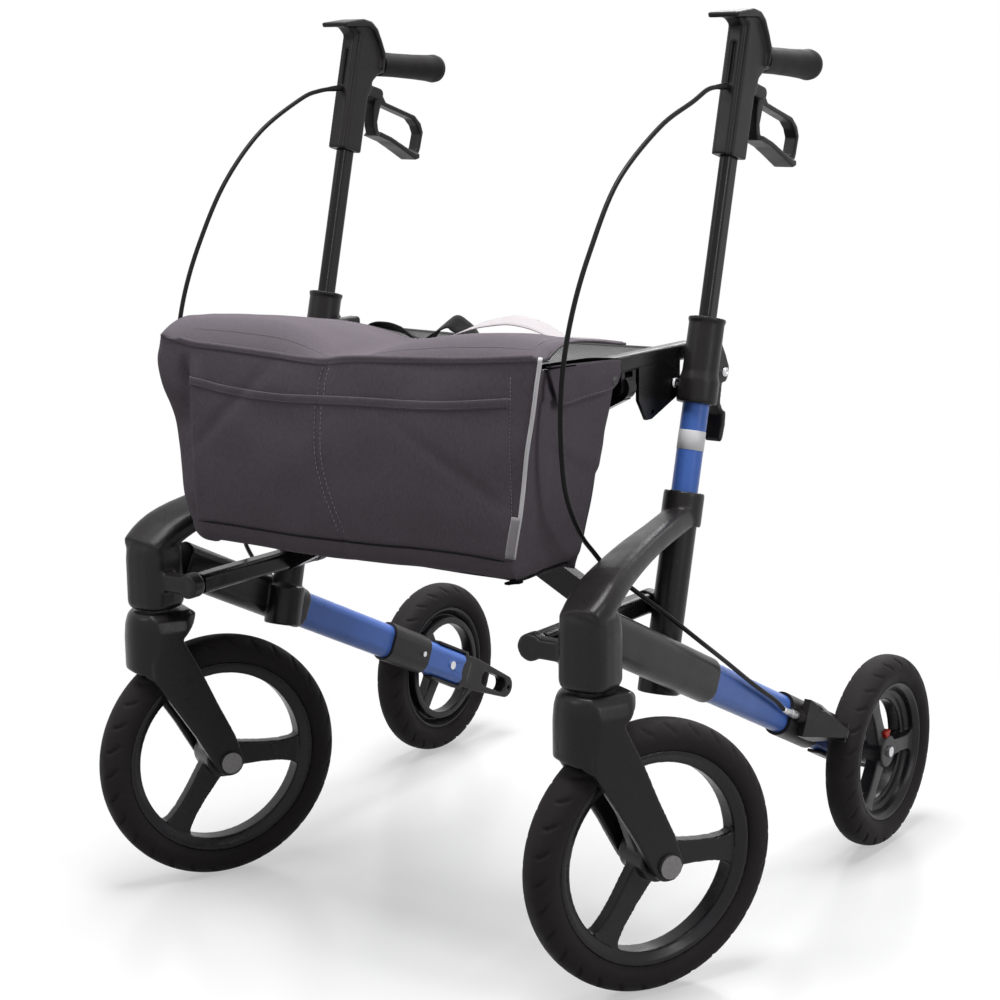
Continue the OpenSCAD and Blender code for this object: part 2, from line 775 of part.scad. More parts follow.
// Side frames
module arm(s) {
    run = collar_y;
    rise = collar_z - arm_start_z;
    inward = pivot_x - post_x;
    path = [for (p = arm_shares) [
        pivot_x - p[2] * inward, p[0] * run, arm_start_z + p[1] * rise,
        p[3] * arm_w / 2, p[4] * arm_h / 2
    ]];
    head = [for (p = head_shares) [
        pivot_x, 0, head_low_z + p[0] * head_h, p[1] * head_d / 2, p[1] * head_d / 2
    ]];
    color(black) difference() {
        union() {
            placed(s) loft(rings(smooth(path, arm_steps), arm_power, arm_sides, -arm_roll));
            placed(s) loft(rings(head, head_power, arm_sides));
            on_post(s) translate([0, 0, collar_at]) cylinder(d = collar_d, h = collar_h);
            placed(s) lengthways(fold_x, -knob_front, lower_pivot_z, knob_d, knob_len);
            placed(s) translate([fold_x, -knob_front, lower_pivot_z - knob_web_h / 2])
                cube([pivot_x - fold_x - head_d / 2 + knob_web_in, knob_len, knob_web_h]);
        }
        on_caster(s) translate([0, 0, head_low_z - over])
            cylinder(d = bearing_d + 2 * seat_gap, h = head_h - head_roof + over);
        on_post(s) translate([0, 0, collar_at - sleeve_len])
            cylinder(d = sleeve_d + 2 * seat_gap, h = 2 * sleeve_len + collar_h);
        placed(s) lengthways(fold_x, -knob_front + over, lower_pivot_z, pin_d + 2 * seat_gap, knob_len);
    }
}
module lower_casting(s) {
    lug_y = lower_lean_y;
    color(black) difference() {
        union() {
            on_rail(s) stadium_bar(socket_w, socket_h, socket_low, socket_top - socket_low);
            on_post(s) cylinder(d = boss_d, h = boss_h);
            on_post(s) cylinder(d = sleeve_d, h = sleeve_len);
            placed(s) lengthways(fold_x, lug_y, lower_pivot_z, lug_d, lug_t);
            placed(s) translate([fold_x, lug_y, lower_pivot_z - lug_web_h / 2])
                cube([post_x - fold_x, lug_t, lug_web_h]);
        }
        placed(s) translate([pivot_x, 0, head_low_z - over])
            cylinder(d = head_d + 2 * head_grow, h = head_h + 2 * over);
        on_rail(s) stadium_bar(rail_tube_w + 2 * seat_gap, rail_tube_h + 2 * seat_gap,
            socket_low - over, tube_seat + over);
        on_post(s) translate([0, 0, post_tube_from])
            cylinder(d = post_tube_d + 2 * seat_gap, h = sleeve_len);
        placed(s) lengthways(fold_x, lug_y - over, lower_pivot_z, pin_d + 2 * seat_gap, lug_t + 2 * over);
    }
}
module rail_tube(s) {
    length = socket_low + tube_seat - rail_end;
    color(blue) on_rail(s) difference() {
        stadium_bar(rail_tube_w, rail_tube_h, rail_end, length);
        stadium_bar(rail_tube_w - 2 * rail_wall, rail_tube_h - 2 * rail_wall,
            rail_end - over, length + 2 * over);
        crossways(0, rail_bolt_at, rail_bolt_d + 2 * seat_gap, rail_tube_w + over);
        crossways(0, 0, axle_boss_d + 2 * seat_gap, rail_tube_w + over);
    }
}
module post_tube(s) {
    color(blue) on_post(s) difference() {
        translate([0, 0, post_tube_from]) cylinder(d = post_tube_d, h = post_tube_top - post_tube_from);
        cylinder(d = post_tube_d - 2 * post_tube_wall, h = post_tube_top + over);
    }
}
module kerb_step(s) {
    half = rail_tube_h / 2;
    inner_w = rail_tube_w - 2 * rail_wall - 2 * seat_gap;
    inner_h = rail_tube_h - 2 * rail_wall - 2 * seat_gap;
    color(black) on_rail(s) difference() {
        union() {
            stadium_bar(inner_w, inner_h, 0, rail_end + step_insert);
            across(step_w) difference() {
                union() {
                    polygon([
                        [-half, rail_end], [-half, -axle_boss_d / 2],
                        [-step_tip_h / 2, -step_len + step_tip_h / 2],
                        [step_tip_h / 2, -step_len + step_tip_h / 2],
                        [half, -axle_boss_d / 2], [half, rail_end]
                    ]);
                    translate([0, -step_len + step_tip_h / 2]) circle(d = step_tip_h);
                }
                translate([0, -(step_slot_from + step_slot_to) / 2])
                    stadium(step_slot_h, step_slot_to - step_slot_from);
                translate([0, -step_hole_at]) circle(d = step_hole_d);
            }
            translate([(axle_boss_out - axle_boss_in) / 2, 0, 0])
                crossways(0, 0, axle_boss_d, axle_boss_out + axle_boss_in);
            for (e = [-1, 1])
                translate([0, e * (half + seat_gap + step_clip_t / 2), rail_end + step_clip_len / 2 - over])
                cube([step_clip_w, step_clip_t, step_clip_len + 2 * over], center = true);
            for (e = [-1, 1]) translate([0, e * half, rail_end - step_clip_t])
                cube([step_clip_w, 2 * step_clip_t, 2 * step_clip_t - over], center = true);
        }
        translate([rail_spacing / 2 - axle_boss_in + axle_wall - seat_gap, 0, 0])
            crossways(0, 0, rear_axle_d + 2 * seat_gap, rail_spacing);
        crossways(0, rail_bolt_at, rail_bolt_d + 2 * seat_gap, rail_spacing);
    }
}
module rear_axle(s) {
    inner = rear_x - rail_x + axle_boss_in - axle_wall;
    color(steel) on_rear_axle(s) {
        translate([0, 0, -inner]) cylinder(d = rear_axle_d, h = inner + rear_hub_out + button_t);
        translate([0, 0, axle_boss_out + rail_x - rear_x])
            cylinder(d = rear_axle_d + bolt_head_t,
                h = rear_x - rail_x - axle_boss_out - rear_hub_w + rear_hub_out - body_gap);
    }
}
module brake_bracket(s) {
    color(black) on_rail(s) {
        difference() {
            union() {
                stadium_bar(bracket_w, bracket_h, bracket_from, bracket_len);
                translate([adjuster_x, adjuster_up, adjuster_from - adjuster_lug_len])
                    cylinder(d = adjuster_lug_d, h = adjuster_lug_len);
            }
            stadium_bar(rail_tube_w + 2 * seat_gap, rail_tube_h + 2 * seat_gap,
                bracket_from - over, bracket_len + 2 * over);
            translate([adjuster_x, adjuster_up, adjuster_from - adjuster_lug_len - over])
                cylinder(d = adjuster_d + 2 * seat_gap, h = adjuster_len + over);
            crossways(0, rivet_at, rivet_d / 2, bracket_w + over);
        }
        translate([bracket_w / 2 - shoe_pin_in, shoe_pivot_up, shoe_pivot_at]) rotate([0, 90, 0])
            cylinder(d = shoe_pin_d, h = shoe_pin_len);
    }
}
module brake_shoe(s) {
    base_x = bracket_w / 2 + body_gap;
    pad_from = rear_r + pad_gap;
    pad_x = rear_x - rail_x - pad_w / 2;
    color(black) on_rail(s) difference() {
        union() {
            hull() {
                translate([base_x, shoe_base_low, shoe_base_from])
                    cube([shoe_base_w, shoe_base_h, shoe_base_len]);
                translate([pad_x + pad_w - shoe_tip_w / 2, shoe_tip_low, pad_from + pad_t])
                    cube([shoe_tip_w, shoe_tip_h, shoe_tip_len]);
            }
            translate([pad_x, pad_low, pad_from]) cube([pad_w, pad_h, pad_t]);
        }
        crossways(shoe_pivot_up, shoe_pivot_at, shoe_pin_d + 2 * run_gap, rail_spacing);
    }
}

// Posts and handles
module height_clamp(s) {
    bulge = [for (p = bulge_shares) [p[0] * clamp_bulge_d, p[1] * clamp_len]];
    color(black) on_post(s) translate([0, 0, clamp_at]) difference() {
        union() {
            rotate_extrude() polygon(scaled(clamp_shares, clamp_d, clamp_len));
            across(ear_w) polygon(bulge);
        }
        translate([0, 0, -over]) cylinder(d = post_tube_d + 2 * seat_gap, h = clamp_seat + over);
        stadium_bar(slider_w + 4 * run_gap, slider_d + 4 * run_gap, 0, clamp_len + over);
        translate([-ear_slot_w / 2, ear_slot_from, -over])
            cube([ear_slot_w, clamp_bulge_d, ear_slot_h + over]);
        crossways(clamp_pin_back, clamp_pin_up, clamp_pin_d + 2 * seat_gap, ear_w + over);
    }
}
module clamp_lever(s) {
    neck = [for (p = lever_neck_shares) [p[0] * clamp_bulge_d, p[1] * clamp_len]];
    paddle = [for (p = lever_paddle_shares) [p[0] * clamp_bulge_d, p[1] * clamp_len]];
    color(black) on_post(s) translate([0, 0, clamp_at]) {
        across(clamp_lever_w) polygon(neck);
        across(paddle_w) polygon(paddle);
        crossways(clamp_pin_back, clamp_pin_up, lever_eye_d, clamp_lever_w);
        crossways(clamp_pin_back, clamp_pin_up, clamp_pin_d, ear_w);
    }
}
module handle_post(s) {
    length = handle_at + slider_seat - slider_from;
    color(black) on_post(s) difference() {
        stadium_bar(slider_w, slider_d, slider_from, length);
        stadium_bar(slider_w - 2 * slider_wall, slider_d - 2 * slider_wall,
            slider_from - over, length + 2 * over);
    }
}
module handle_body(s) {
    ear_x = lever_w / 2 + hinge_gap + hinge_ear_t / 2;
    color(black) on_handle(s) difference() {
        union() {
            difference() {
                union() {
                    across(handle_w) polygon(scaled(housing_shares, handle_d, handle_h));
                    across(nose_w) polygon(scaled(nose_shares, handle_d, handle_h));
                    across(rest_w) polygon(scaled(rest_shares, handle_d, handle_h));
                }
                translate([0, grip_back, grip_up]) rotate([grip_rise - 90, 0, 0])
                    translate([0, 0, -seat_gap]) cylinder(d = grip_end_d + over, h = grip_len);
            }
            translate([0, grip_back, grip_up]) rotate([grip_rise - 90, 0, 0])
                translate([0, 0, -grip_core_in])
                cylinder(d = grip_core_d, h = grip_core_in + grip_len - grip_cap);
            for (e = [-1, 1]) translate([e * ear_x, 0, 0]) {
                crossways(hinge_back, hinge_up, hinge_eye_d, hinge_ear_t);
                translate([-hinge_ear_t / 2, 0, hinge_up - hinge_eye_d / 2])
                    cube([hinge_ear_t, hinge_back, hinge_eye_d]);
            }
            crossways(hinge_back, hinge_up, hinge_d, lever_w + 2 * hinge_gap + over);
        }
        stadium_bar(slider_w + 2 * seat_gap, slider_d + 2 * seat_gap, -over, slider_seat + over);
        translate([-housing_slot_w / 2, -handle_d, housing_slot_from])
            cube([housing_slot_w, handle_d / 2 + housing_slot_d, housing_slot_h]);
    }
}
module grip(s) {
    neck = grip_d / 2;
    flare = grip_end_d / 2 - neck;
    bore = grip_core_d / 2 + seat_gap;
    seat = grip_len - grip_cap + seat_gap;
    color(rubber) on_handle(s) translate([0, grip_back, grip_up]) rotate([grip_rise - 90, 0, 0])
        rotate_extrude() polygon(concat(
            [for (p = grip_shares) [neck + p[1] * flare, p[0] * grip_len]],
            [[0, grip_len], [0, seat], [bore, seat], [bore, 0]]
        ));
}
module brake_lever(s) {
    color(black) on_handle(s) difference() {
        union() {
            across(lever_w) difference() {
                polygon(scaled(lever_shares, lever_len, lever_h));
                polygon(scaled(lever_hole_shares, lever_len, lever_h));
            }
            across(finger_w) polygon(scaled(finger_shares, lever_len, lever_h));
            crossways(hinge_back, hinge_up, hinge_eye_d, lever_w);
        }
        crossways(hinge_back, hinge_up, hinge_d + 2 * run_gap, finger_w);
    }
}
function rail_spot(x, up, along) = [
    rail_x + x,
    wheelbase - along * cos(rail_pitch) + up * sin(rail_pitch),
    rear_r + along * sin(rail_pitch) + up * cos(rail_pitch)
];
module brake_cable(s) {
    cable_end = adjuster_from - adjuster_lug_len + adjuster_len + over;
    route = concat(
        s > 0 ? left_cable_drop : right_cable_drop,
        [for (p = cable_rail_shares) rail_spot(p[0], p[1], p[2] * rail_len)],
        [rail_spot(adjuster_x, adjuster_up + over, cable_end + cable_lead)],
        [rail_spot(adjuster_x, adjuster_up, cable_end)]
    );
    path = [for (p = smooth(route, cable_steps)) concat(p, [cable_d / 2, cable_d / 2])];
    color(rubber) placed(s) loft(rings(path, round_power, cable_sides));
}

// Fold: cross links, seat rails, seat and pins
module fasteners(s) {
    pin_in = knob_len - knob_front + bar_d / 2;
    color(steel) {
        placed(s) lengthways(fold_x, -knob_front + over, lower_pivot_z, pin_d, pin_in + knob_front);
        placed(s) lengthways(fold_x, lower_lean_y - bar_d / 2, lower_pivot_z, pin_d, bar_d / 2 + lug_t);
        on_rail(s) crossways(0, rail_bolt_at, rail_bolt_d, rail_tube_w);
        on_rail(s) for (e = [-1, 1]) translate([e * (rail_tube_w + bolt_head_t) / 2, 0, 0])
            crossways(0, rail_bolt_at, bolt_head_d, bolt_head_t);
        on_rail(s) for (e = [-1, 1]) translate([e * (bracket_w + rivet_t) / 2, 0, 0])
            crossways(0, rivet_at, rivet_d, rivet_t);
        on_rail(s) translate([adjuster_x, adjuster_up, adjuster_from - adjuster_lug_len])
            cylinder(d = adjuster_d, h = adjuster_len);
    }
}
module link(s, y) {
    length = lower_lean_y - lug_gap - bar_from;
    color(black) placed(s) difference() {
        union() {
            translate([fold_x, bar_from, lower_pivot_z]) rotate([-90, 0, 0])
                linear_extrude(length) rounded_profile(bar_d, bar_d);
            translate([fold_x, y, lower_pivot_z]) rotate([0, fold_angle - 180, 0]) {
                lengthways(fold_span, 0, 0, eye_d, link_t);
                translate([0, 0, -link_h / 2]) cube([fold_span, link_t, link_h]);
            }
        }
        lengthways(fold_x, bar_from - over, lower_pivot_z, pin_d + 2 * run_gap, length + 2 * over);
        translate([fold_x, y, lower_pivot_z]) rotate([0, fold_angle - 180, 0]) {
            lengthways(fold_span, -over, 0, pin_d + 2 * run_gap, link_t + 2 * over);
            lengthways(fold_span / 2, -over, 0, cross_d + 2 * run_gap, link_t + 2 * over);
        }
    }
}
module cross_link_a() {
    link(1, link_a_y);
}
module cross_link_b() {
    link(-1, link_b_y);
}
module cross_pivot() {
    mid_z = (lower_pivot_z + upper_pivot_z) / 2;
    stack = 2 * link_t + link_gap;
    color(steel) placed(1) {
        lengthways(0, link_a_y - body_gap - cross_head_t, mid_z, cross_d,
            stack + 2 * (body_gap + cross_head_t));
        for (y = [link_a_y - body_gap - cross_head_t, link_a_y + stack + body_gap])
            lengthways(0, y, mid_z, cross_head_d, cross_head_t);
    }
}
module seat_rail(s) {
    eye_y = s > 0 ? link_b_y : link_a_y;
    low = seat_top - seat_rail_h;
    plate = [for (p = plate_shares) [seat_front_y + p[0] * seat_len, seat_top - p[1] * plate_drop]];
    plate_x = fold_x + seat_rail_w / 2 - plate_t / 2;
    color(black) placed(s) {
        difference() {
            union() {
                translate([fold_x, seat_front_y, seat_top - seat_rail_h / 2]) rotate([-90, 0, 0])
                    linear_extrude(seat_len) rounded_profile(seat_rail_w, seat_rail_h);
                translate([plate_x, 0, 0]) across(plate_t) polygon(plate);
                for (y = [eye_y - seat_lug_gap - seat_lug_t, eye_y + link_t + seat_lug_gap]) {
                    lengthways(fold_x, y, upper_pivot_z, seat_lug_w, seat_lug_t);
                    translate([fold_x - seat_lug_w / 2, y, upper_pivot_z])
                        cube([seat_lug_w, seat_lug_t, low - upper_pivot_z + seat_rail_h / 2]);
                }
                lengthways(fold_x, eye_y - seat_lug_gap, upper_pivot_z, pin_d, link_t + 2 * seat_lug_gap);
                translate([plate_x + plate_t / 2, 0, 0])
                    crossways(seat_front_y + plate_bolt_shares[0] * seat_len,
                        seat_top - plate_bolt_shares[1] * plate_drop, plate_bolt_d, 2 * plate_bolt_t);
            }
            translate([plate_x, 0, 0]) crossways(seat_front_y + plate_hole_shares[0] * seat_len,
                seat_top - plate_hole_shares[1] * plate_drop, plate_hole_d, plate_t + over);
        }
    }
}
// Square profile with rounded corners
module rounded_profile(w, h) {
    r = w / 4;
    square([w - 2 * r, h], center = true);
    square([w, h - 2 * r], center = true);
    for (a = [-1, 1], b = [-1, 1]) translate([a * (w / 2 - r), b * (h / 2 - r)]) circle(r = r);
}
module seat_mesh() {
    width = pivot_spacing - seat_rail_w - seat_gap - body_gap;
    from_x = (seat_rail_w - pivot_spacing) / 2 + body_gap;
    color(charcoal) placed(1) {
        translate([from_x, seat_front_y, seat_top - seat_drop - seat_t]) cube([width, seat_len, seat_t]);
        translate([from_x, pull_at - band_w / 2, seat_top - seat_drop - seat_t])
            cube([width, band_w, seat_t + band_t]);
    }
}
// A strap from x = from, standing on the heights z and far_z at its ends
module strap_loft(shares, from, run, rise, y, z, far_z, w, t) {
    path = [for (p = smooth(shares, strap_steps))
        [from + p[0] * run, y, z + p[0] * (far_z - z) + p[1] * rise]];
    strip = concat(
        [for (p = path) [p[0], p[2] + t]],
        [for (k = [len(path) - 1 : -1 : 0]) [path[k][0], path[k][2]]]
    );
    translate([0, y + w / 2, 0]) rotate([90, 0, 0]) linear_extrude(w) polygon(strip);
}
module seat_pull_strap() {
    seat_z = seat_top - seat_drop + band_t + seat_gap;
    color(rubber) placed(1)
        strap_loft(pull_shares, pull_x, pull_run, pull_rise, pull_at, seat_z, seat_z, pull_w, pull_t);
}
module bag_solid(inset, top_extra, floor_t) {
    low_z = bag_top_z - bag_h;
    hull() {
        translate([-bag_top_w / 2 + inset, bag_front_y + inset, bag_top_z - bag_rim])
            cube([bag_top_w - 2 * inset, bag_top_d - 2 * inset, bag_rim + top_extra]);
        translate([-bag_low_w / 2 + inset, bag_front_y + bag_low_back + inset, low_z + floor_t])
            cube([bag_low_w - 2 * inset, bag_low_d - 2 * inset, bag_rim]);
    }
}
// The lid's top at a share across it and a share of the way back
function flap_z(share, back) =
    flap_low_z + flap_rise * (
        lookup(share, [for (p = flap_shares) [p[0], p[1]]]) * (1 - back)
        + lookup(share, [for (p = flap_shares) [p[0], p[2]]]) * back
    );
// The lid's form between two shares of the way back, raised and lowered beyond its faces
module flap_form(from, to, up, down) {
    rows = [for (back = [from, to]) [for (p = flap_shares)
        [p[0] * flap_half, bag_front_y + flap_in + back * flap_len, flap_z(p[0], back)]]];
    sheet(
        [for (r = rows) [for (p = r) p + [0, 0, up]]],
        [for (r = rows) [for (p = r) p - [0, 0, flap_t + down]]]
    );
}
module bag() {
    wide = bag_overhang / bag_top_w;
    color(charcoal) placed(1) difference() {
        bag_solid(0, 0, 0);
        bag_solid(bag_wall, over, bag_floor);
        flap_form(-wide, 1 + wide, bag_h, 2 * body_gap);
        translate([-bag_top_w, seat_front_y - bag_gap, seat_top - seat_rail_h - bag_gap])
            cube([2 * bag_top_w, bag_top_d, bag_h]);
    }
}
module bag_flap() {
    color(charcoal) placed(1) flap_form(0, 1, 0, 0);
}
module bag_strap() {
    strap_y = bag_front_y + flap_in + flap_len - strap_in;
    front_back = (flap_len - strap_in - strap_w / 2) / flap_len;
    color(pale) placed(1) strap_loft(strap_shares, strap_from, strap_run, strap_rise, strap_y,
        flap_z(strap_from / flap_half, front_back) + seat_gap,
        flap_z((strap_from + strap_run) / flap_half, front_back) + seat_gap, strap_w, strap_t);
}

arm(1);  // left_arm
arm(-1);  // right_arm
lower_casting(1);  // left_lower_casting
lower_casting(-1);  // right_lower_casting
rail_tube(1);  // left_rail_tube
rail_tube(-1);  // right_rail_tube
post_tube(1);  // left_post_tube
post_tube(-1);  // right_post_tube
height_clamp(1);  // left_height_clamp
height_clamp(-1);  // right_height_clamp
clamp_lever(1);  // left_clamp_lever
clamp_lever(-1);  // right_clamp_lever
handle_post(1);  // left_handle_post
handle_post(-1);  // right_handle_post
handle_body(1);  // left_handle_body
handle_body(-1);  // right_handle_body
grip(1);  // left_grip
grip(-1);  // right_grip
brake_lever(1);  // left_brake_lever
brake_lever(-1);  // right_brake_lever
brake_cable(1);  // left_brake_cable
brake_cable(-1);  // right_brake_cable
caster_fork(1);  // left_caster_fork
caster_fork(-1);  // right_caster_fork
caster_stem(1);  // left_caster_stem
caster_stem(-1);  // right_caster_stem
head_bearings(1);  // left_head_bearings
head_bearings(-1);  // right_head_bearings
front_rim(1);  // left_front_rim
front_rim(-1);  // right_front_rim
front_tyre(1);  // left_front_tyre
front_tyre(-1);  // right_front_tyre
front_axle(1);  // left_front_axle
front_axle(-1);  // right_front_axle
rear_rim(1);  // left_rear_rim
rear_rim(-1);  // right_rear_rim
rear_tyre(1);  // left_rear_tyre
rear_tyre(-1);  // right_rear_tyre
rear_axle(1);  // left_rear_axle
rear_axle(-1);  // right_rear_axle
release_button(1);  // left_release_button
release_button(-1);  // right_release_button
brake_bracket(1);  // left_brake_bracket
brake_bracket(-1);  // right_brake_bracket
brake_shoe(1);  // left_brake_shoe
brake_shoe(-1);  // right_brake_shoe
kerb_step(1);  // left_kerb_step
kerb_step(-1);  // right_kerb_step
seat_rail(1);  // left_seat_rail
seat_rail(-1);  // right_seat_rail
fasteners(1);  // left_fasteners
fasteners(-1);  // right_fasteners
cross_link_a();
cross_link_b();
cross_pivot();
seat_mesh();
seat_pull_strap();
bag();
bag_flap();
bag_strap();
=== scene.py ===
import math

import bmesh
import bpy
import numpy as np
from mathutils import Matrix, Vector, noise


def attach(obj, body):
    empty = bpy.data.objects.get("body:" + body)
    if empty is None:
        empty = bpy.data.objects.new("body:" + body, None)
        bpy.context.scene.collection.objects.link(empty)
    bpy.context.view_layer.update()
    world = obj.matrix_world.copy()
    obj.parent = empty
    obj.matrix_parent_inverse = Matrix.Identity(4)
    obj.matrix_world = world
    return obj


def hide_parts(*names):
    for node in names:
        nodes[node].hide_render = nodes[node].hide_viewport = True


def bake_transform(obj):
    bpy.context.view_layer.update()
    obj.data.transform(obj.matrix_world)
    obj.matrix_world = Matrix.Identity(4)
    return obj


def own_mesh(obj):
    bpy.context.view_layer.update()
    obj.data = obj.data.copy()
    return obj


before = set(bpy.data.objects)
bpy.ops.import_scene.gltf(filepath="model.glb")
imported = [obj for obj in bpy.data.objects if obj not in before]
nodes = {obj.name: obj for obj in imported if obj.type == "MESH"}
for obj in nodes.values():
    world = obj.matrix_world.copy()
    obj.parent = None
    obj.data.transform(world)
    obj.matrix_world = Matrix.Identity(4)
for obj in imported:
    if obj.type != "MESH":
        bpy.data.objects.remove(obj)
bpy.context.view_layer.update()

# Sizes in millimetres, as in the part's source; the origin there is the line of the caster pivots
MID_X, MID_Y = 21.292, 304.827
PIVOT_X, TRAIL, TURN = 288.5, 67.0, math.radians(25.6)
FRONT_R, REAR_R, REAR_X, BASE = 140.0, 113.5, 328.0, 564.0
LEAN, PITCH = math.radians(14.2), math.radians(25.6)
POST_X, FOOT_Y, FOOT_Z, RAIL_X = 258.0, 175.0, 268.0, 282.0
SIDES = (("left", 1), ("right", -1))
WELD_REACH, KEPT_SHARE = 0.00002, 0.35


# Places
def row(p):
    """A place in millimetres as a point of the frame in metres."""
    return Vector(((p[0] - MID_X) / 1000, (p[1] - MID_Y) / 1000, p[2] / 1000))


def side_place(s):
    return lambda p: row((s * p[0], p[1], p[2]))


def post_place(s):
    """x across, y behind the post's line, z along it from the foot."""
    return lambda p: row((
        s * (POST_X + p[0]),
        FOOT_Y + p[1] * math.cos(LEAN) + p[2] * math.sin(LEAN),
        FOOT_Z - p[1] * math.sin(LEAN) + p[2] * math.cos(LEAN),
    ))


def rail_place(s):
    """x across, y square to the rail and up, z along it from the rear axle."""
    return lambda p: row((
        s * (RAIL_X + p[0]),
        BASE - p[2] * math.cos(PITCH) + p[1] * math.sin(PITCH),
        REAR_R + p[2] * math.sin(PITCH) + p[1] * math.cos(PITCH),
    ))


def caster_place(s):
    """x along the axle, y along the trail, z up."""
    return lambda p: row((
        s * PIVOT_X + p[0] * math.cos(TURN) + p[1] * math.sin(TURN),
        -p[0] * math.sin(TURN) + p[1] * math.cos(TURN),
        p[2],
    ))


def front_wheel_place(s):
    place = caster_place(s)
    return lambda p: place((p[0], TRAIL + p[1], FRONT_R + p[2]))


def rear_wheel_place(s):
    return lambda p: row((s * (REAR_X + p[0]), BASE + p[1], REAR_R + p[2]))


# Mesh making
def grid_faces(rows, cols, around=True):
    """Faces between rows of points, each row a closed ring unless around is false."""
    faces = []
    for i in range(rows - 1):
        for k in range(cols if around else cols - 1):
            a, b = i * cols + k, i * cols + (k + 1) % cols
            faces.append((a, b, b + cols, a + cols))
    return faces


def closed_loft(rings):
    """Points and faces of a closed body through rings of equal length."""
    cols = len(rings[0])
    points = [p for ring in rings for p in ring]
    faces = grid_faces(len(rings), cols)
    faces.append(tuple(reversed(range(cols))))
    faces.append(tuple(range((len(rings) - 1) * cols, len(rings) * cols)))
    return points, faces


def revolve(profile, around):
    """Points and faces of a profile of (radius, along x) turned about X."""
    rings = []
    for k in range(around):
        a = 2 * math.pi * k / around
        rings.append([(x, r * math.cos(a), r * math.sin(a)) for r, x in profile])
    cols = len(profile)
    points = [p for ring in rings for p in ring]
    faces = []
    for k in range(around):
        n = (k + 1) % around
        for i in range(cols - 1):
            faces.append((k * cols + i, k * cols + i + 1, n * cols + i + 1, n * cols + i))
    return points, faces


def joined(*bodies):
    """Points and faces of several bodies as one."""
    points, faces = [], []
    for p, f in bodies:
        start = len(points)
        points += list(p)
        faces += [tuple(i + start for i in face) for face in f]
    return points, faces


def object_of(name, body, place=row):
    """An object with smooth shading from points and faces."""
    mesh = bpy.data.meshes.new(name)
    mesh.from_pydata([place(p) for p in body[0]], [], body[1])
    mesh.update()
    work = bmesh.new()
    work.from_mesh(mesh)
    bmesh.ops.recalc_face_normals(work, faces=work.faces)
    work.to_mesh(mesh)
    work.free()
    mesh.polygons.foreach_set("use_smooth", [True] * len(mesh.polygons))
    made = bpy.data.objects.new(name, mesh)
    bpy.context.scene.collection.objects.link(made)
    return made


def settle(obj):
    """Applies the modifiers of a piece."""
    bpy.context.view_layer.update()
    held = obj.evaluated_get(bpy.context.evaluated_depsgraph_get())
    mesh = bpy.data.meshes.new_from_object(held)
    old = obj.data
    obj.modifiers.clear()
    obj.data = mesh
    bpy.data.meshes.remove(old)
    obj.data.name = obj.name
    obj.data.polygons.foreach_set("use_smooth", [True] * len(obj.data.polygons))
    return obj


def piece(obj, body, material, slot, *stands_for):
    """A piece rides a body, and may stand for nodes of the part."""
    obj.data.materials.clear()
    obj.data.materials.append(material)
    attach(obj, body)
    if stands_for:
        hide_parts(*stands_for)
    return obj


def dress(node, material):
    """A carried-over node gets a material, and its doubled points are joined."""
    obj = nodes[node]
    obj.data.materials.clear()
    obj.data.materials.append(material)
    obj.modifiers.new("weld", "WELD").merge_threshold = WELD_REACH
    return obj


def edged(node, material, width):
    """A carried-over node with narrow rounded edges."""
    obj = dress(node, material)
    m = obj.modifiers.new("edges", "BEVEL")
    m.width = width / 1000
    m.segments = 2
    m.limit_method = "ANGLE"
    m.angle_limit = math.radians(38)
    m.use_clamp_overlap = True
    m = obj.modifiers.new("normals", "WEIGHTED_NORMAL")
    m.keep_sharp = True
    obj.data.polygons.foreach_set("use_smooth", [True] * len(obj.data.polygons))
    return obj


def moulded(node, material, voxel, passes):
    """A carried-over node as one skin with the soft edges of a moulding."""
    obj = dress(node, material)
    m = obj.modifiers.new("skin", "REMESH")
    m.mode = "VOXEL"
    m.voxel_size = voxel / 1000
    m.use_smooth_shade = True
    m = obj.modifiers.new("soft", "SMOOTH")
    m.factor = 0.5
    m.iterations = passes
    m = obj.modifiers.new("lean", "DECIMATE")
    m.ratio = KEPT_SHARE
    return obj


def spline(points, steps):
    """A smooth line through points."""
    pts = [np.array(p, float) for p in points]
    out = []
    for i in range(len(pts) - 1):
        a, b = pts[max(i - 1, 0)], pts[i]
        c, d = pts[i + 1], pts[min(i + 2, len(pts) - 1)]
        for k in range(steps):
            t = k / steps
            out.append((2 * b + (c - a) * t + (2 * a - 5 * b + 4 * c - d) * t * t
                        + (3 * b - a - 3 * c + d) * t ** 3) / 2)
    out.append(pts[-1])
    return out


def swept(line, radius, sides):
    """A tube along a line of points; radius may be a number or one for each point."""
    rings, up = [], np.array((1.0, 0.0, 0.0))
    turns = [2 * math.pi * k / sides for k in range(sides)]
    for i, p in enumerate(line):
        ahead = line[min(i + 1, len(line) - 1)] - line[max(i - 1, 0)]
        ahead = ahead / np.linalg.norm(ahead)
        up = up - ahead * (up @ ahead)
        up = up / np.linalg.norm(up)
        other = np.cross(ahead, up)
        r = radius if np.isscalar(radius) else radius[i]
        rings.append([tuple(p + r * (up * math.cos(a) + other * math.sin(a))) for a in turns])
    return closed_loft(rings)


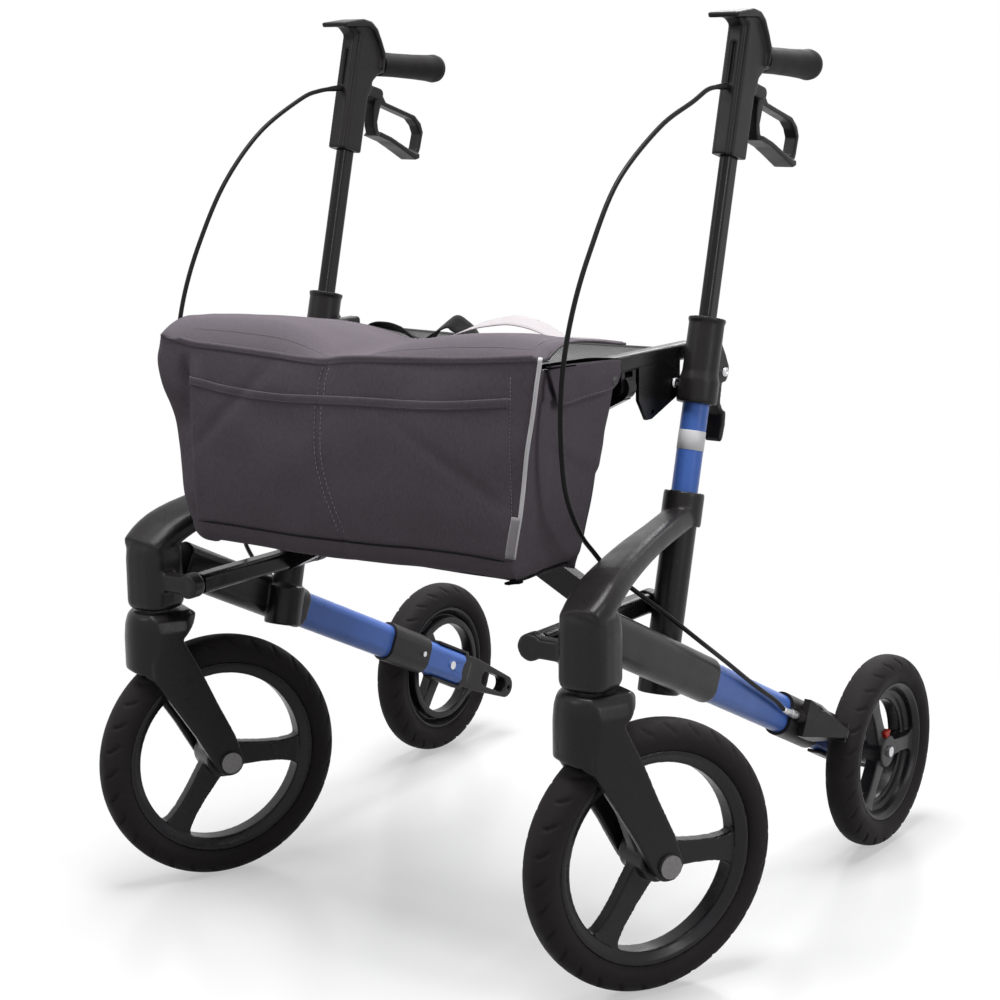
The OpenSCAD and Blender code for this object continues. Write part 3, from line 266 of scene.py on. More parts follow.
# Materials
class Nodes:
    """Short hand for a node material."""

    def __init__(self, name, base, rough, metal=0.0):
        self.material = bpy.data.materials.new(name)
        self.material.use_nodes = True
        self.tree = self.material.node_tree
        self.shader = self.tree.nodes["Principled BSDF"]
        self.shader.inputs["Base Color"].default_value = (*base, 1)
        self.shader.inputs["Roughness"].default_value = rough
        self.shader.inputs["Metallic"].default_value = metal
        self.place = self.new("ShaderNodeTexCoord").outputs["Object"]
        self.height = None

    def new(self, kind, **values):
        made = self.tree.nodes.new(kind)
        for key, value in values.items():
            setattr(made, key, value)
        return made

    def link(self, a, b):
        self.tree.links.new(a, b)

    def noise(self, scale, detail=3.0, stretch=None):
        made = self.new("ShaderNodeTexNoise")
        made.inputs["Scale"].default_value = scale
        made.inputs["Detail"].default_value = detail
        place = self.place
        if stretch:
            mapping = self.new("ShaderNodeMapping")
            mapping.inputs["Scale"].default_value = stretch
            self.link(place, mapping.inputs["Vector"])
            place = mapping.outputs["Vector"]
        self.link(place, made.inputs["Vector"])
        return made.outputs["Fac"]

    def math(self, kind, a, b=None):
        made = self.new("ShaderNodeMath", operation=kind)
        for k, v in enumerate((a, b)):
            if v is None:
                continue
            if isinstance(v, (int, float)):
                made.inputs[k].default_value = v
            else:
                self.link(v, made.inputs[k])
        return made.outputs[0]

    def spread(self, value, low, high, from_low=0.3, from_high=0.7):
        made = self.new("ShaderNodeMapRange")
        made.inputs["From Min"].default_value = from_low
        made.inputs["From Max"].default_value = from_high
        made.inputs["To Min"].default_value = low
        made.inputs["To Max"].default_value = high
        self.link(value, made.inputs["Value"])
        return made.outputs["Result"]

    def tone(self, value, dark, light, low=0.3, high=0.7):
        ramp = self.new("ShaderNodeValToRGB")
        ramp.color_ramp.elements[0].position = low
        ramp.color_ramp.elements[1].position = high
        ramp.color_ramp.elements[0].color = (*dark, 1)
        ramp.color_ramp.elements[1].color = (*light, 1)
        self.link(value, ramp.inputs["Fac"])
        return ramp.outputs["Color"]

    def mix(self, share, a, b):
        made = self.new("ShaderNodeMix", data_type="RGBA")
        self.link(share, made.inputs["Factor"])
        for socket, v in ((made.inputs["A"], a), (made.inputs["B"], b)):
            if isinstance(v, tuple):
                socket.default_value = (*v, 1)
            else:
                self.link(v, socket)
        return made.outputs["Result"]

    def colour(self, value):
        self.link(value, self.shader.inputs["Base Color"])

    def gloss(self, value):
        self.link(value, self.shader.inputs["Roughness"])

    def bump(self, value, strength, distance):
        made = self.new("ShaderNodeBump")
        made.inputs["Strength"].default_value = strength
        made.inputs["Distance"].default_value = distance
        self.link(value, made.inputs["Height"])
        if self.height is not None:
            self.link(self.height, made.inputs["Normal"])
        self.height = made.outputs["Normal"]
        self.link(self.height, self.shader.inputs["Normal"])


def scaled(c, f):
    return tuple(min(1.0, x * f) for x in c)


def moulded_black(name, base, rough, grain=0.12, grain_scale=2600, wear=0.5, shine=0.12):
    """Black plastic or powder coat: fine grain, uneven sheen, rubbed edges."""
    n = Nodes(name, base, rough)
    patch = n.noise(38, 4)
    n.gloss(n.spread(patch, rough - 0.06, rough + 0.08))
    colour = n.tone(n.noise(420, 3), scaled(base, 0.86), scaled(base, 1.16))
    edge = n.new("ShaderNodeNewGeometry").outputs["Pointiness"]
    rubbed = n.spread(edge, 0.0, wear, 0.53, 0.66)
    colour = n.mix(rubbed, colour, scaled(base, 2.4))
    n.colour(colour)
    n.bump(n.noise(grain_scale, 2), grain, 0.0004)
    n.shader.inputs["Specular IOR Level"].default_value = shine
    return n.material


def painted(name, base, rough):
    """Smooth paint or thread under a thin clear coat."""
    n = Nodes(name, base, rough)
    n.colour(n.tone(n.noise(24, 3), scaled(base, 0.93), scaled(base, 1.07)))
    n.gloss(n.spread(n.noise(90, 4), rough - 0.05, rough + 0.07))
    n.bump(n.noise(900, 2), 0.05, 0.0003)
    n.shader.inputs["Specular IOR Level"].default_value = 0.22
    n.shader.inputs["Coat Weight"].default_value = 0.12
    n.shader.inputs["Coat Roughness"].default_value = 0.22
    return n.material


def bright_metal(name, base, rough):
    """Metal with fine brush marks."""
    n = Nodes(name, base, rough, 1.0)
    n.colour(n.tone(n.noise(300, 3), scaled(base, 0.85), scaled(base, 1.1)))
    n.gloss(n.spread(n.noise(1200, 3, (1, 0.1, 1)), rough - 0.08, rough + 0.12))
    n.bump(n.noise(1800, 2, (1, 0.08, 1)), 0.06, 0.0002)
    return n.material


def tyre_rubber(name, base):
    """Dull rubber with a little dust."""
    n = Nodes(name, base, 0.68)
    dust = n.noise(55, 5)
    n.colour(n.tone(dust, scaled(base, 0.85), scaled(base, 1.3)))
    n.gloss(n.spread(dust, 0.58, 0.78))
    n.bump(n.noise(1500, 3), 0.16, 0.0005)
    n.shader.inputs["Specular IOR Level"].default_value = 0.1
    return n.material


def woven(name, base, pitch, heather=0.16, bump=0.5, sheen=0.25, shine=0.08):
    """Plain weave: two crossed sets of threads with uneven dye."""
    n = Nodes(name, base, 0.88)
    split = n.new("ShaderNodeSeparateXYZ")
    n.link(n.place, split.inputs[0])
    along = n.math("ADD", split.outputs["X"], split.outputs["Y"])
    across = n.math("ADD", split.outputs["Z"], n.math("MULTIPLY", split.outputs["Y"], 0.55))
    turn = 2 * math.pi / (pitch / 1000)
    warp = n.math("SINE", n.math("MULTIPLY", along, turn))
    weft = n.math("SINE", n.math("MULTIPLY", across, turn))
    weave = n.spread(n.math("MULTIPLY", warp, weft), 0.0, 1.0, -1.0, 1.0)
    yarn = n.noise(900, 3, (1, 1, 0.25))
    colour = n.tone(yarn, scaled(base, 1 - heather), scaled(base, 1 + heather))
    colour = n.mix(n.spread(weave, 0.0, 0.22, 0.0, 1.0), colour, scaled(base, 0.55))
    shade = n.spread(n.noise(9, 3), 0.0, 0.16)
    n.colour(n.mix(shade, colour, scaled(base, 1.25)))
    n.gloss(n.spread(yarn, 0.8, 0.95))
    n.bump(weave, bump, 0.00025)
    n.bump(n.noise(160, 3), 0.12, 0.0012)
    n.shader.inputs["Sheen Weight"].default_value = sheen
    n.shader.inputs["Sheen Roughness"].default_value = 0.5
    n.shader.inputs["Specular IOR Level"].default_value = shine
    return n.material


def net(name, base, pitch, hole):
    """An open knitted net: staggered round holes through a dark yarn."""
    n = Nodes(name, base, 0.6)
    split = n.new("ShaderNodeSeparateXYZ")
    n.link(n.place, split.inputs[0])
    u = n.math("DIVIDE", split.outputs["X"], pitch / 1000)
    v = n.math("DIVIDE", split.outputs["Y"], pitch / 1000)
    shift = n.math("MULTIPLY", n.math("MODULO", n.math("FLOOR", v), 2.0), 0.5)
    fu = n.math("SUBTRACT", n.math("FRACT", n.math("ADD", u, shift)), 0.5)
    fv = n.math("SUBTRACT", n.math("FRACT", v), 0.5)
    far = n.math("SQRT", n.math("ADD", n.math("MULTIPLY", fu, fu), n.math("MULTIPLY", fv, fv)))
    yarn = n.spread(far, 0.0, 1.0, hole - 0.06, hole + 0.06)
    n.link(yarn, n.shader.inputs["Alpha"])
    n.colour(n.tone(n.noise(700, 2), scaled(base, 0.7), scaled(base, 1.5)))
    n.bump(far, 0.6, 0.0008)
    return n.material


CASTING = moulded_black("satin_casting", (0.0200, 0.0178, 0.0186), 0.32, 0.10, shine=0.22)
PLASTIC = moulded_black("black_plastic", (0.0180, 0.0160, 0.0170), 0.36, 0.14, shine=0.19)
FORK = moulded_black("fork_plastic", (0.0165, 0.0146, 0.0156), 0.30, 0.08, shine=0.20)
RIM = moulded_black("rim_plastic", (0.0185, 0.0165, 0.0190), 0.28, 0.05, shine=0.22)
ANODISED = moulded_black("black_anodised", (0.0080, 0.0075, 0.0080), 0.24, 0.05, 4000, shine=0.22)
JACKET = moulded_black("cable_jacket", (0.0080, 0.0075, 0.0075), 0.40, 0.05)
GRIP = moulded_black("grip_rubber", (0.0180, 0.0165, 0.0168), 0.58, 0.30, 1900)
DARK = moulded_black("dark_inside", (0.005, 0.005, 0.005), 0.7, 0.1, shine=0.1)
BLUE = painted("blue_paint", (0.090, 0.210, 0.690), 0.32)
WHITE_BAND = painted("white_band", (0.90, 0.90, 0.92), 0.4)
STEEL = bright_metal("zinc_steel", (0.62, 0.62, 0.64), 0.30)
DULL_STEEL = bright_metal("dull_steel", (0.16, 0.155, 0.155), 0.45)
RED = moulded_black("red_plastic", (0.62, 0.035, 0.02), 0.34, 0.05, wear=0.1)
TYRE = tyre_rubber("tyre_rubber", (0.0270, 0.0240, 0.0245))
CLOTH = woven("bag_canvas", (0.160, 0.138, 0.160), 0.9, sheen=0.06)
# Near-black cloth with no sheen or gloss: painted shade for the dark inside of the bag and the gaps under the lid
LINING_AND_PAINTED_SHADE = woven("bag_lining_painted_shade", (0.012, 0.011, 0.013), 0.9, sheen=0.0, shine=0.0)
WEBBING = woven("black_webbing", (0.010, 0.0095, 0.010), 1.6, bump=0.9)
PALE_WEB = woven("pale_webbing", (0.62, 0.58, 0.60), 1.4, 0.06, 0.6)
PIPING = painted("reflective_piping", (0.93, 0.91, 0.93), 0.42)
THREAD = painted("thread", (0.40, 0.36, 0.41), 0.7)
DIM_THREAD = painted("dim_thread", (0.16, 0.14, 0.165), 0.75)
TAG = woven("grey_tag", (0.46, 0.44, 0.46), 1.0, 0.06, 0.4)
STUD = bright_metal("dark_snap", (0.07, 0.066, 0.07), 0.38)
NET = net("seat_net", (0.012, 0.012, 0.013), 2.6, 0.27)
HEM = woven("seat_hem", (0.016, 0.016, 0.017), 1.2, bump=0.8)

# Frame
for side, _ in SIDES:
    for name in ("rail_tube", "post_tube"):
        edged(f"{side}_{name}", BLUE, 0.5)
    for name in ("handle_post", "seat_rail"):
        edged(f"{side}_{name}", ANODISED, 0.8)
    for name in ("caster_stem", "head_bearings", "rear_axle", "fasteners"):
        edged(f"{side}_{name}", STEEL, 0.4)
    edged(f"{side}_front_axle", DULL_STEEL, 0.8)
    edged(f"{side}_release_button", RED, 0.8)
    for name in ("brake_bracket", "brake_shoe"):
        edged(f"{side}_{name}", PLASTIC, 0.5)
    for name in ("height_clamp", "clamp_lever", "kerb_step"):
        moulded(f"{side}_{name}", PLASTIC, 1.1, 8)
    moulded(f"{side}_handle_body", PLASTIC, 1.1, 20)
    moulded(f"{side}_brake_lever", PLASTIC, 0.8, 16)
    moulded(f"{side}_arm", CASTING, 1.6, 14)
    moulded(f"{side}_lower_casting", CASTING, 1.4, 8)
    moulded(f"{side}_caster_fork", FORK, 1.5, 16)
    moulded(f"{side}_front_rim", RIM, 1.4, 8)
    moulded(f"{side}_rear_rim", RIM, 1.3, 8)
    edged(f"{side}_grip", GRIP, 1.0)
for name in ("cross_link_a", "cross_link_b"):
    edged(name, ANODISED, 1.5)
edged("cross_pivot", STEEL, 0.6)


def ease(x, low, high):
    """A smooth step from 0 to 1."""
    t = min(max((x - low) / (high - low), 0.0), 1.0)
    return t * t * (3 - 2 * t)


def signed_power(x, power):
    return math.copysign(abs(x) ** power, x)


TYRE_STEPS = 600


def tyre(radius, width, depth, count):
    """A tyre with a plain middle and short slanted cuts along both shoulders."""
    bead, half = 0.8 * width / 2, width / 2
    turns = [-90 + 7.5 * i for i in range(25)]
    points = []
    for k in range(TYRE_STEPS):
        spin = 2 * math.pi * k / TYRE_STEPS
        points.append((-bead, (radius - depth) * math.cos(spin), (radius - depth) * math.sin(spin)))
        for a in turns:
            c, t = math.cos(math.radians(a)), math.sin(math.radians(a))
            r = radius - half + half * signed_power(c, 2 / 2.4)
            x = half * signed_power(t, 2 / 2.4)
            band = ease(abs(a), 26, 36) * (1 - ease(abs(a), 62, 74))
            lean = (abs(a) - 48) / 90
            phase = spin * count / (2 * math.pi) + lean * 0.9 + lean * lean * 1.2 + (0.5 if a < 0 else 0.0)
            gap = abs(phase - round(phase))
            cut = 2.3 * band * (1 - ease(gap, 0.035, 0.085))
            wall = 0.7 * math.exp(-((abs(a) - 80) / 4) ** 2)
            r -= cut * c - wall * 0.2
            x -= math.copysign(cut * abs(t) - wall * 0.3, a) if a else 0.0
            points.append((x, r * math.cos(spin), r * math.sin(spin)))
        points.append((bead, (radius - depth) * math.cos(spin), (radius - depth) * math.sin(spin)))
    cols = len(turns) + 2
    faces = []
    for k in range(TYRE_STEPS):
        n = (k + 1) % TYRE_STEPS
        for i in range(cols):
            j = (i + 1) % cols
            faces.append((k * cols + i, k * cols + j, n * cols + j, n * cols + i))
    return points, faces


def same(p):
    """For points that are in the frame's metres already."""
    return p


def screw(name, body, at, radius, height, place):
    """A socket screw along X: a domed head with a sunk six-sided recess."""
    profile = [
        (radius * 1.08, 0.0), (radius * 1.08, 0.3), (radius, 0.5), (radius * 0.98, height * 0.75),
        (radius * 0.8, height), (radius * 0.52, height), (radius * 0.48, height * 0.3), (0.01, height * 0.28),
    ]
    body_points, faces = revolve(profile, 36)
    points = []
    for k, (x, y, z) in enumerate(body_points):
        ring = k % len(profile)
        if 5 <= ring <= 6:
            a = math.atan2(z, y)
            flat = math.cos(math.pi / 6) / math.cos((a % (math.pi / 3)) - math.pi / 6)
            y, z = y * flat, z * flat
        points.append((at[0] + x, at[1] + y, at[2] + z))
    return piece(object_of(name, (points, faces), place), body, STEEL, "steel")


# A brake cable's route: millimetres from the handle down, then along the rail as (across, up, share of the rail),
# and last the ends of the adjuster; its thickness is in metres
CABLE_DROP = {
    "left": [
        (258, 308, 886.4), (259, 270, 884.4), (260, 235, 872), (260, 170, 848), (262, 90, 799), (264, 38, 736),
        (264, 8, 682), (262, -6, 627), (258, -4, 569), (252, 13, 508), (246, 46, 462), (241, 80, 434),
        (246, 102, 411), (262, 120, 391),
    ],
    "right": [
        (258, 308, 886.4), (259, 270, 883.4), (260, 236, 874), (262, 168, 839), (264, 110, 786), (264, 66, 723),
        (263, 37, 666), (260, 20, 610), (256, 14, 560), (251, 24, 505), (246, 50, 461), (241, 80, 434),
        (246, 102, 411), (262, 120, 391),
    ],
}
CABLE_RAIL = [(1, 45.3, 0.776), (18, 30.5, 0.688), (20, 22.9, 0.599), (21, 12.6, 0.478), (20, 7.2, 0.385)]
RAIL_LEN = 625.4
ADJUSTER_ENDS = [(18, 2.05, 208.05), (18, 2, 192.05)]
CABLE_R, SLEEVE_OUT, SLEEVE_FADE = 0.0025, 0.0009, (0.010, 0.026)
FERRULE_LEN, FERRULE_R, FERRULE_RIDGE = 0.020, 0.0031, 0.0004

for side, s in SIDES:
    wheel = object_of(f"{side}_front_tread", tyre(FRONT_R, 41, 29, 30), front_wheel_place(s))
    piece(wheel, f"{side}_front_wheel", TYRE, "tyre", f"{side}_front_tyre")
    wheel = object_of(f"{side}_rear_tread", tyre(REAR_R, 38, 31, 26), rear_wheel_place(s))
    piece(wheel, f"{side}_rear_wheel", TYRE, "tyre", f"{side}_rear_tyre")

    along = rail_place(s)
    route = [np.array(side_place(s)(p)) for p in CABLE_DROP[side]]
    route += [np.array(along((x, up, share * RAIL_LEN))) for x, up, share in CABLE_RAIL]
    route += [np.array(along(p)) for p in ADJUSTER_ENDS]
    line = spline(route, 9)
    run = np.concatenate(([0.0], np.cumsum([np.linalg.norm(b - a) for a, b in zip(line, line[1:])])))
    thick = [CABLE_R + SLEEVE_OUT * (1 - ease(d, *SLEEVE_FADE)) for d in run]
    cable = object_of(f"{side}_cable", swept(line, thick, 14), same)
    cable.data.materials.append(JACKET)
    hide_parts(f"{side}_brake_cable")
    top = route[0]
    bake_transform(cable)
    tail = [p for p, d in zip(line, run) if d > run[-1] - FERRULE_LEN]
    collar = [FERRULE_R + (FERRULE_RIDGE if 2 < i < len(tail) - 2 else 0.0) for i in range(len(tail))]
    piece(object_of(f"{side}_cable_ferrule", swept(tail, collar, 16), same), f"{side}_frame", STEEL, "steel")

    screw(f"{side}_clamp_screw", f"{side}_clamp", (12.1, 30, 342), 4.6, 2.6, post_place(s))
    screw(f"{side}_seat_bolt", f"{side}_seat", (237.5, 240.8, 584.5), 4.8, 2.2, side_place(s))

BAND_PROFILE, BAND_STEPS = ((14.02, 255.2), (14.32, 255.6), (14.32, 275.2), (14.02, 275.6)), 64
turns = [2 * math.pi * k / BAND_STEPS for k in range(BAND_STEPS)]
band = [(r * math.cos(a), r * math.sin(a), z) for r, z in BAND_PROFILE for a in turns]
body = (band, grid_faces(len(BAND_PROFILE), BAND_STEPS))
piece(object_of("left_post_band", body, post_place(1)), "left_frame", WHITE_BAND, "blue_paint")

# Bag, seat and straps: places are in millimetres from the caster pivots' line
CLOTH_THICK = 1.6
END_OUT = {1: 0, -1: 8}  # how much further out the bag's right end lies
# Shares of the way round the bag at which one side, the ear, the front and the other corner end
SIDE_END, EAR_END, FRONT_END, CORNER_END = 0.22, 0.29, 0.74, 0.78


def curve(points):
    """A smooth reading of z, or another value, from a table of (place, value)."""
    line = np.array(spline(points, 12))
    return lambda x: float(np.interp(x, line[:, 0], line[:, 1]))


def waves(x, y, z):
    """Slow waves between about -1 and 1, the same on each run."""
    return noise.noise(Vector((x, y, z)))


seam_z = curve([
    (-262, 630), (-246, 628.7), (-207, 621.6), (-173, 620.1), (-135, 618.6), (-101, 617.1), (-73, 615.8),
    (-45, 615), (-20, 615.4), (3, 618.8), (33, 621.3), (64, 622.8), (101, 624.6), (138, 626.9), (174, 629.7),
    (209, 633), (230, 635.4), (250, 637),
])
lobe_z = curve([
    (-262, 640), (-252, 645), (-236, 649), (-185, 652), (-115, 651.5), (-72, 646), (-40, 633), (-16, 621),
    (6, 622.5), (50, 637), (112, 649), (172, 654), (226, 652), (246, 651), (258, 649),
])
rear_z = curve([
    (-262, 633), (-244, 637), (-185, 640), (-114, 641), (-66, 637), (-30, 630.5), (-14, 627.5), (8, 628.5),
    (48, 634), (73, 637), (160, 639.5), (230, 641), (258, 640),
])
hem_z = curve([
    (-212, 591), (-181, 587.6), (-160, 584.8), (-122, 582.2), (-73, 581.4), (-28, 583.6), (26, 586),
    (83, 587.6), (139, 590.9), (210, 599.2),
])
foot_z = curve([
    (-230, 430), (-208, 431.5), (-177, 433.4), (-122, 433.3), (-60, 432.8), (20, 435), (97, 438.6),
    (153, 439.6), (189, 438.6), (210, 438.1), (230, 438),
])
right_x = curve([(400, 207), (440, 211), (480, 218.5), (539, 227), (598, 237), (637, 243.5), (660, 245)])
left_x = curve([
    (400, -214), (428, -220), (442, -227), (465, -232), (494, -235), (530, -238), (556, -244), (581, -251),
    (603, -254), (620, -250), (640, -246),
])
middle_x = curve([(440, -1), (490, -19.7), (517, -26), (551, -26.4), (582, -24.5), (604, -21.7), (620, -14)])


def front_y(x, z):
    """The bag's front: full in the middle, pulled in at a crease near its right end."""
    low, high = left_x(z), right_x(z)
    across = (2 * x - low - high) / (high - low)
    rise = min(max((z - 436) / 185, 0.0), 1.0)
    y = -15.5 - 5.5 * math.sin(math.pi * rise) ** 0.8 * (1 - across ** 4)
    y += 9.0 * math.exp(-((x + 214) / 6.5) ** 2) * ease(z, 440, 490) * (1 - ease(z, 585, 618))
    y -= 3.0 * math.exp(-((x + 200) / 8) ** 2) * ease(z, 440, 490) * (1 - ease(z, 585, 618))
    pull = math.exp(-((x - middle_x(z)) / 5) ** 2)
    y += 1.2 * pull
    y += 1.5 * waves(x / 75, z / 48, 3.1) + 0.7 * waves(x / 30, z / 60, 8.4)
    slant = (x - 150) * 0.55 + (z - 520)
    y += 1.1 * math.exp(-(slant / 9) ** 2) * math.exp(-((x - 150) / 70) ** 2)
    slant = (x + 150) * -0.9 + (z - 560)
    y += 1.6 * math.exp(-(slant / 10) ** 2) * math.exp(-((x + 150) / 60) ** 2)
    return y


def side_folds(y, z):
    """How far a side of the bag stands out, with the folds of its gusset."""
    fold = (z - 542) + (y - 37) * 0.42
    out = 2.2 * math.tanh(fold / 5) * ease(y, 14, 40)
    fold = (z - 470) - (y - 60) * 1.3
    out += 2.0 * math.exp(-(fold / 12) ** 2) * (1 - ease(z, 520, 560))
    return out + 2.2 * waves(y / 38, z / 46, 5.7) * ease(y, -10, 15)


FOOT_ROLL = 24.0


def ear(z, t):
    """The bag's corner at its right end, from side to front: fuller towards the top."""
    low = left_x(z)
    full = 0.2 + 1.0 * ease(z, 470, 615)
    y0 = front_y(low + 26, z)
    ends = ((low, 14.0), (low - 14 * full, -6.0), (low + 2 - 12 * full, y0 - 1), (low + 26, y0))
    shares = ((1 - t) ** 3, 3 * t * (1 - t) ** 2, 3 * t * t * (1 - t), t ** 3)
    return sum(w * p[0] for w, p in zip(shares, ends)), sum(w * p[1] for w, p in zip(shares, ends))


def bag_point(t, v):
    """The bag's cloth: t goes round from the back of one side to that of the other, v from mouth to foot."""
    down = max(v - 1.0, 0.0)
    rise = min(v, 1.0)

    def level(x, high):
        return high + (foot_z(x) - high) * rise

    if t < SIDE_END:
        s = t / SIDE_END
        z = level(-225, 628)
        x = left_x(z) + 7 * (1 - s) ** 2 - side_folds(116 * (1 - s), z) * 0.8
        back = 122 - 16 * rise
        y = back + (14 - back) * s
        out = (-1.0, 0.0)
    elif t < EAR_END:
        s = (t - SIDE_END) / (EAR_END - SIDE_END)
        turn = s * math.pi / 2
        z = level(-225, 628 + 1.5 * s)
        x, y = ear(z, s)
        out = (-math.cos(turn), -math.sin(turn))
    elif t < FRONT_END:
        s = (t - EAR_END) / (FRONT_END - EAR_END)
        x = -220 + s * 448
        z = level(x, seam_z(x) + 7)
        low, high = left_x(z) + 26, right_x(z) - 6
        x = low + s * (high - low)
        z = level(x, seam_z(x) + 7)
        y = front_y(x, z)
        out = (0.0, -1.0)
    elif t < CORNER_END:
        s = (t - FRONT_END) / (CORNER_END - FRONT_END)
        turn = s * math.pi / 2
        z = level(230, 641 - 14 * s)
        high = right_x(z)
        y0 = front_y(high - 6, z)
        x = high - 6 + 6 * math.sin(turn)
        y = y0 + 6 * (1 - math.cos(turn))
        out = (math.sin(turn), -math.cos(turn))
    else:
        s = (t - CORNER_END) / (1 - CORNER_END)
        z = level(230, 627 - 5 * s)
        high = right_x(z)
        back = 122 - 16 * rise
        y0 = front_y(high - 6, z) + 6
        y = y0 + (back - y0) * s
        x = high + side_folds(y, z) * ease(s, 0.0, 0.3)
        if z > 596:
            x = max(x, 239.5)
        out = (1.0, 0.0)
    if down:
        turn = down / 0.3 * math.pi / 2
        inward = FOOT_ROLL * (1 - math.cos(turn))
        x, y = x - out[0] * inward * 0.7, y - out[1] * inward
        z -= FOOT_ROLL * math.sin(turn) + 1.2 * waves(x / 60, y / 60, 2.2)
    return x, y, z


def sheet_of(name, points, thick, inward=-1.0):
    """A piece of cloth through rows of points, with its thickness."""
    body = ([p for line in points for p in line], grid_faces(len(points), len(points[0]), around=False))
    obj = object_of(name, body)
    m = obj.modifiers.new("thick", "SOLIDIFY")
    m.thickness = thick / 1000
    m.offset = inward
    m.use_rim = True
    return settle(obj)


def soft(obj, body, material, slot, *stands_for):
    """A piece of the bag or seat, with a mesh of its own."""
    piece(obj, body, material, slot, *stands_for)
    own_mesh(obj)
    return obj


def shade_inner_faces(obj, outside):
    """The inner face of a sheet gets the near-black cloth: painted shade for the inside of the bag."""
    obj.data.materials.append(LINING_AND_PAINTED_SHADE)
    for face in obj.data.polygons[outside:2 * outside]:
        face.material_index = 1
    return obj


def facing(points):
    """Turns rows of points so that the sheet's normals face away from the middle of the bag."""
    mid = np.array((0.0, 55.0, 520.0))
    i, k = len(points) // 2, len(points[0]) // 2
    a, b, c = (np.array(p) for p in (points[i][k], points[i][k + 1], points[i + 1][k]))
    if np.cross(b - a, c - a) @ (a - mid) < 0:
        return [list(reversed(line)) for line in points]
    return points


def stitches(path, normal, every=6.5, length=4.4, width=0.9, lift=0.5):
    """Points and faces of a row of thread stitches along a path."""
    line = [np.array(p, float) for p in path]
    legs = [np.linalg.norm(b - a) for a, b in zip(line, line[1:])]
    total = sum(legs)
    marks = np.concatenate(([0.0], np.cumsum(legs)))
    stack = np.array(line)

    def at(s):
        return np.array([np.interp(s, marks, stack[:, k]) for k in range(3)])

    up = np.array(normal, float)
    up = up / np.linalg.norm(up)
    bodies = []
    for k in range(int(total / every)):
        a, b = at(k * every), at(k * every + length)
        ahead = b - a
        side = np.cross(up, ahead)
        side = side / np.linalg.norm(side) * width / 2
        rings = []
        for share, grow in ((0.0, 0.35), (0.25, 0.95), (0.75, 0.95), (1.0, 0.35)):
            c = a + ahead * share + up * (lift * grow - 0.25)
            rings.append([tuple(c + side * grow), tuple(c + up * lift * grow), tuple(c - side * grow),
                          tuple(c - up * 0.2)])
        bodies.append(closed_loft(rings))
    return joined(*bodies)


cols, rows = 190, 66
cloth = []
for i in range(rows + 14):
    v = i / (rows - 1) if i < rows else 1 + 0.3 * (i - rows + 1) / 14
    cloth.append([bag_point(k / (cols - 1), v) for k in range(cols)])
shell = sheet_of("bag_cloth", facing(cloth), CLOTH_THICK)
shade_inner_faces(soft(shell, "left_seat", CLOTH, "bag_fabric", "bag"), (len(cloth) - 1) * (cols - 1))

floor_rows = []
for i in range(13):
    line = []
    for k in range(41):
        sag = 2.5 * math.sin(math.pi * i / 12) * math.sin(math.pi * k / 40)
        line.append((-196 + 392 * k / 40, 14 + 84 * i / 12, 413 - sag + waves(k / 5, i / 3, 9.0)))
    floor_rows.append(line)
soft(sheet_of("bag_floor", floor_rows, CLOTH_THICK), "left_seat", CLOTH, "bag_fabric")
back_rows = []
for i in range(30):
    z = 410 + 192 * i / 29
    wide_l, wide_r = left_x(z) + 8, right_x(z) - 2
    back_rows.append([(wide_l + (wide_r - wide_l) * k / 60,
                       106 + 15 * i / 29 - 10 * (1 - ease(i, 0, 5)) + 2.0 * waves(k / 9, i / 7, 4.4), z)
                      for k in range(61)])
soft(sheet_of("bag_back", facing(back_rows), CLOTH_THICK), "left_seat", CLOTH, "bag_fabric")


def pocket_y(x, z, edge=1.0):
    """The pocket's cloth in front of the bag's; edge falls to 0 where it is sewn on."""
    loose = 1.6 * ease(x, -206, -180) * (1 - ease(x, 188, 209)) * ease(z, 440, 500)
    return front_y(x, z) - 0.5 - edge * (0.6 + loose)


pocket = []
for i in range(44):
    share = i / 43
    line = []
    for k in range(130):
        x = -206 + 415 * k / 129
        high = hem_z(x)
        z = high + (foot_z(x) + 0.8 - high) * share
        rim = ease(x, -206, -201) * (1 - ease(x, 205, 209)) * (1 - ease(share, 0.97, 1.0))
        line.append((x, pocket_y(x, z, rim), z))
    pocket.append(line)
soft(sheet_of("bag_pocket", facing(pocket), 1.2), "left_seat", CLOTH, "bag_fabric")
hem = []
for drop, out in ((-0.4, 0.1), (-0.5, 0.5), (0.3, 0.8), (3, 0.7), (8, 0.7), (9.2, 0.5), (9.4, 0.1)):
    hem.append([(x, pocket_y(x, hem_z(x) - drop) - out, hem_z(x) - drop)
                for x in np.linspace(-204, 208, 130)])
soft(sheet_of("bag_pocket_hem", facing(hem), 0.8), "left_seat", CLOTH, "bag_fabric")

thread = []
for shift in (-4.0, 4.0):
    line = []
    for z in np.linspace(612, 440, 90):
        x = middle_x(z) + shift
        y = pocket_y(x, z) - 0.2 if z < hem_z(x) - 10 else front_y(x, z) - 0.2
        line.append((x, y, z))
    thread.append(stitches(line, (0, -1, 0), 5.2, 3.6, 0.9, 0.5))
right_seam = [(209, front_y(209, z) - 0.3, z) for z in np.linspace(619, 440, 90)]
thread.append(stitches(right_seam, (0, -1, 0), 4.0, 2.7, 0.8, 0.4))
soft(object_of("bag_stitches", joined(*thread)), "left_seat", THREAD, "bag_fabric")
thread = [stitches([(x, pocket_y(x, hem_z(x) - 7) - 0.9, hem_z(x) - 7) for x in np.linspace(-200, 206, 120)],
                   (0, -1, 0), 4.4, 3.2, 0.5, 0.3)]
thread.append(stitches([(-203.5, front_y(-203.5, z) - 2.6, z) for z in np.linspace(584, 450, 60)],
                       (0, -1, 0), 5.0, 3.6, 0.6, 0.4))
soft(object_of("bag_pocket_stitches", joined(*thread)), "left_seat", DIM_THREAD, "bag_fabric")

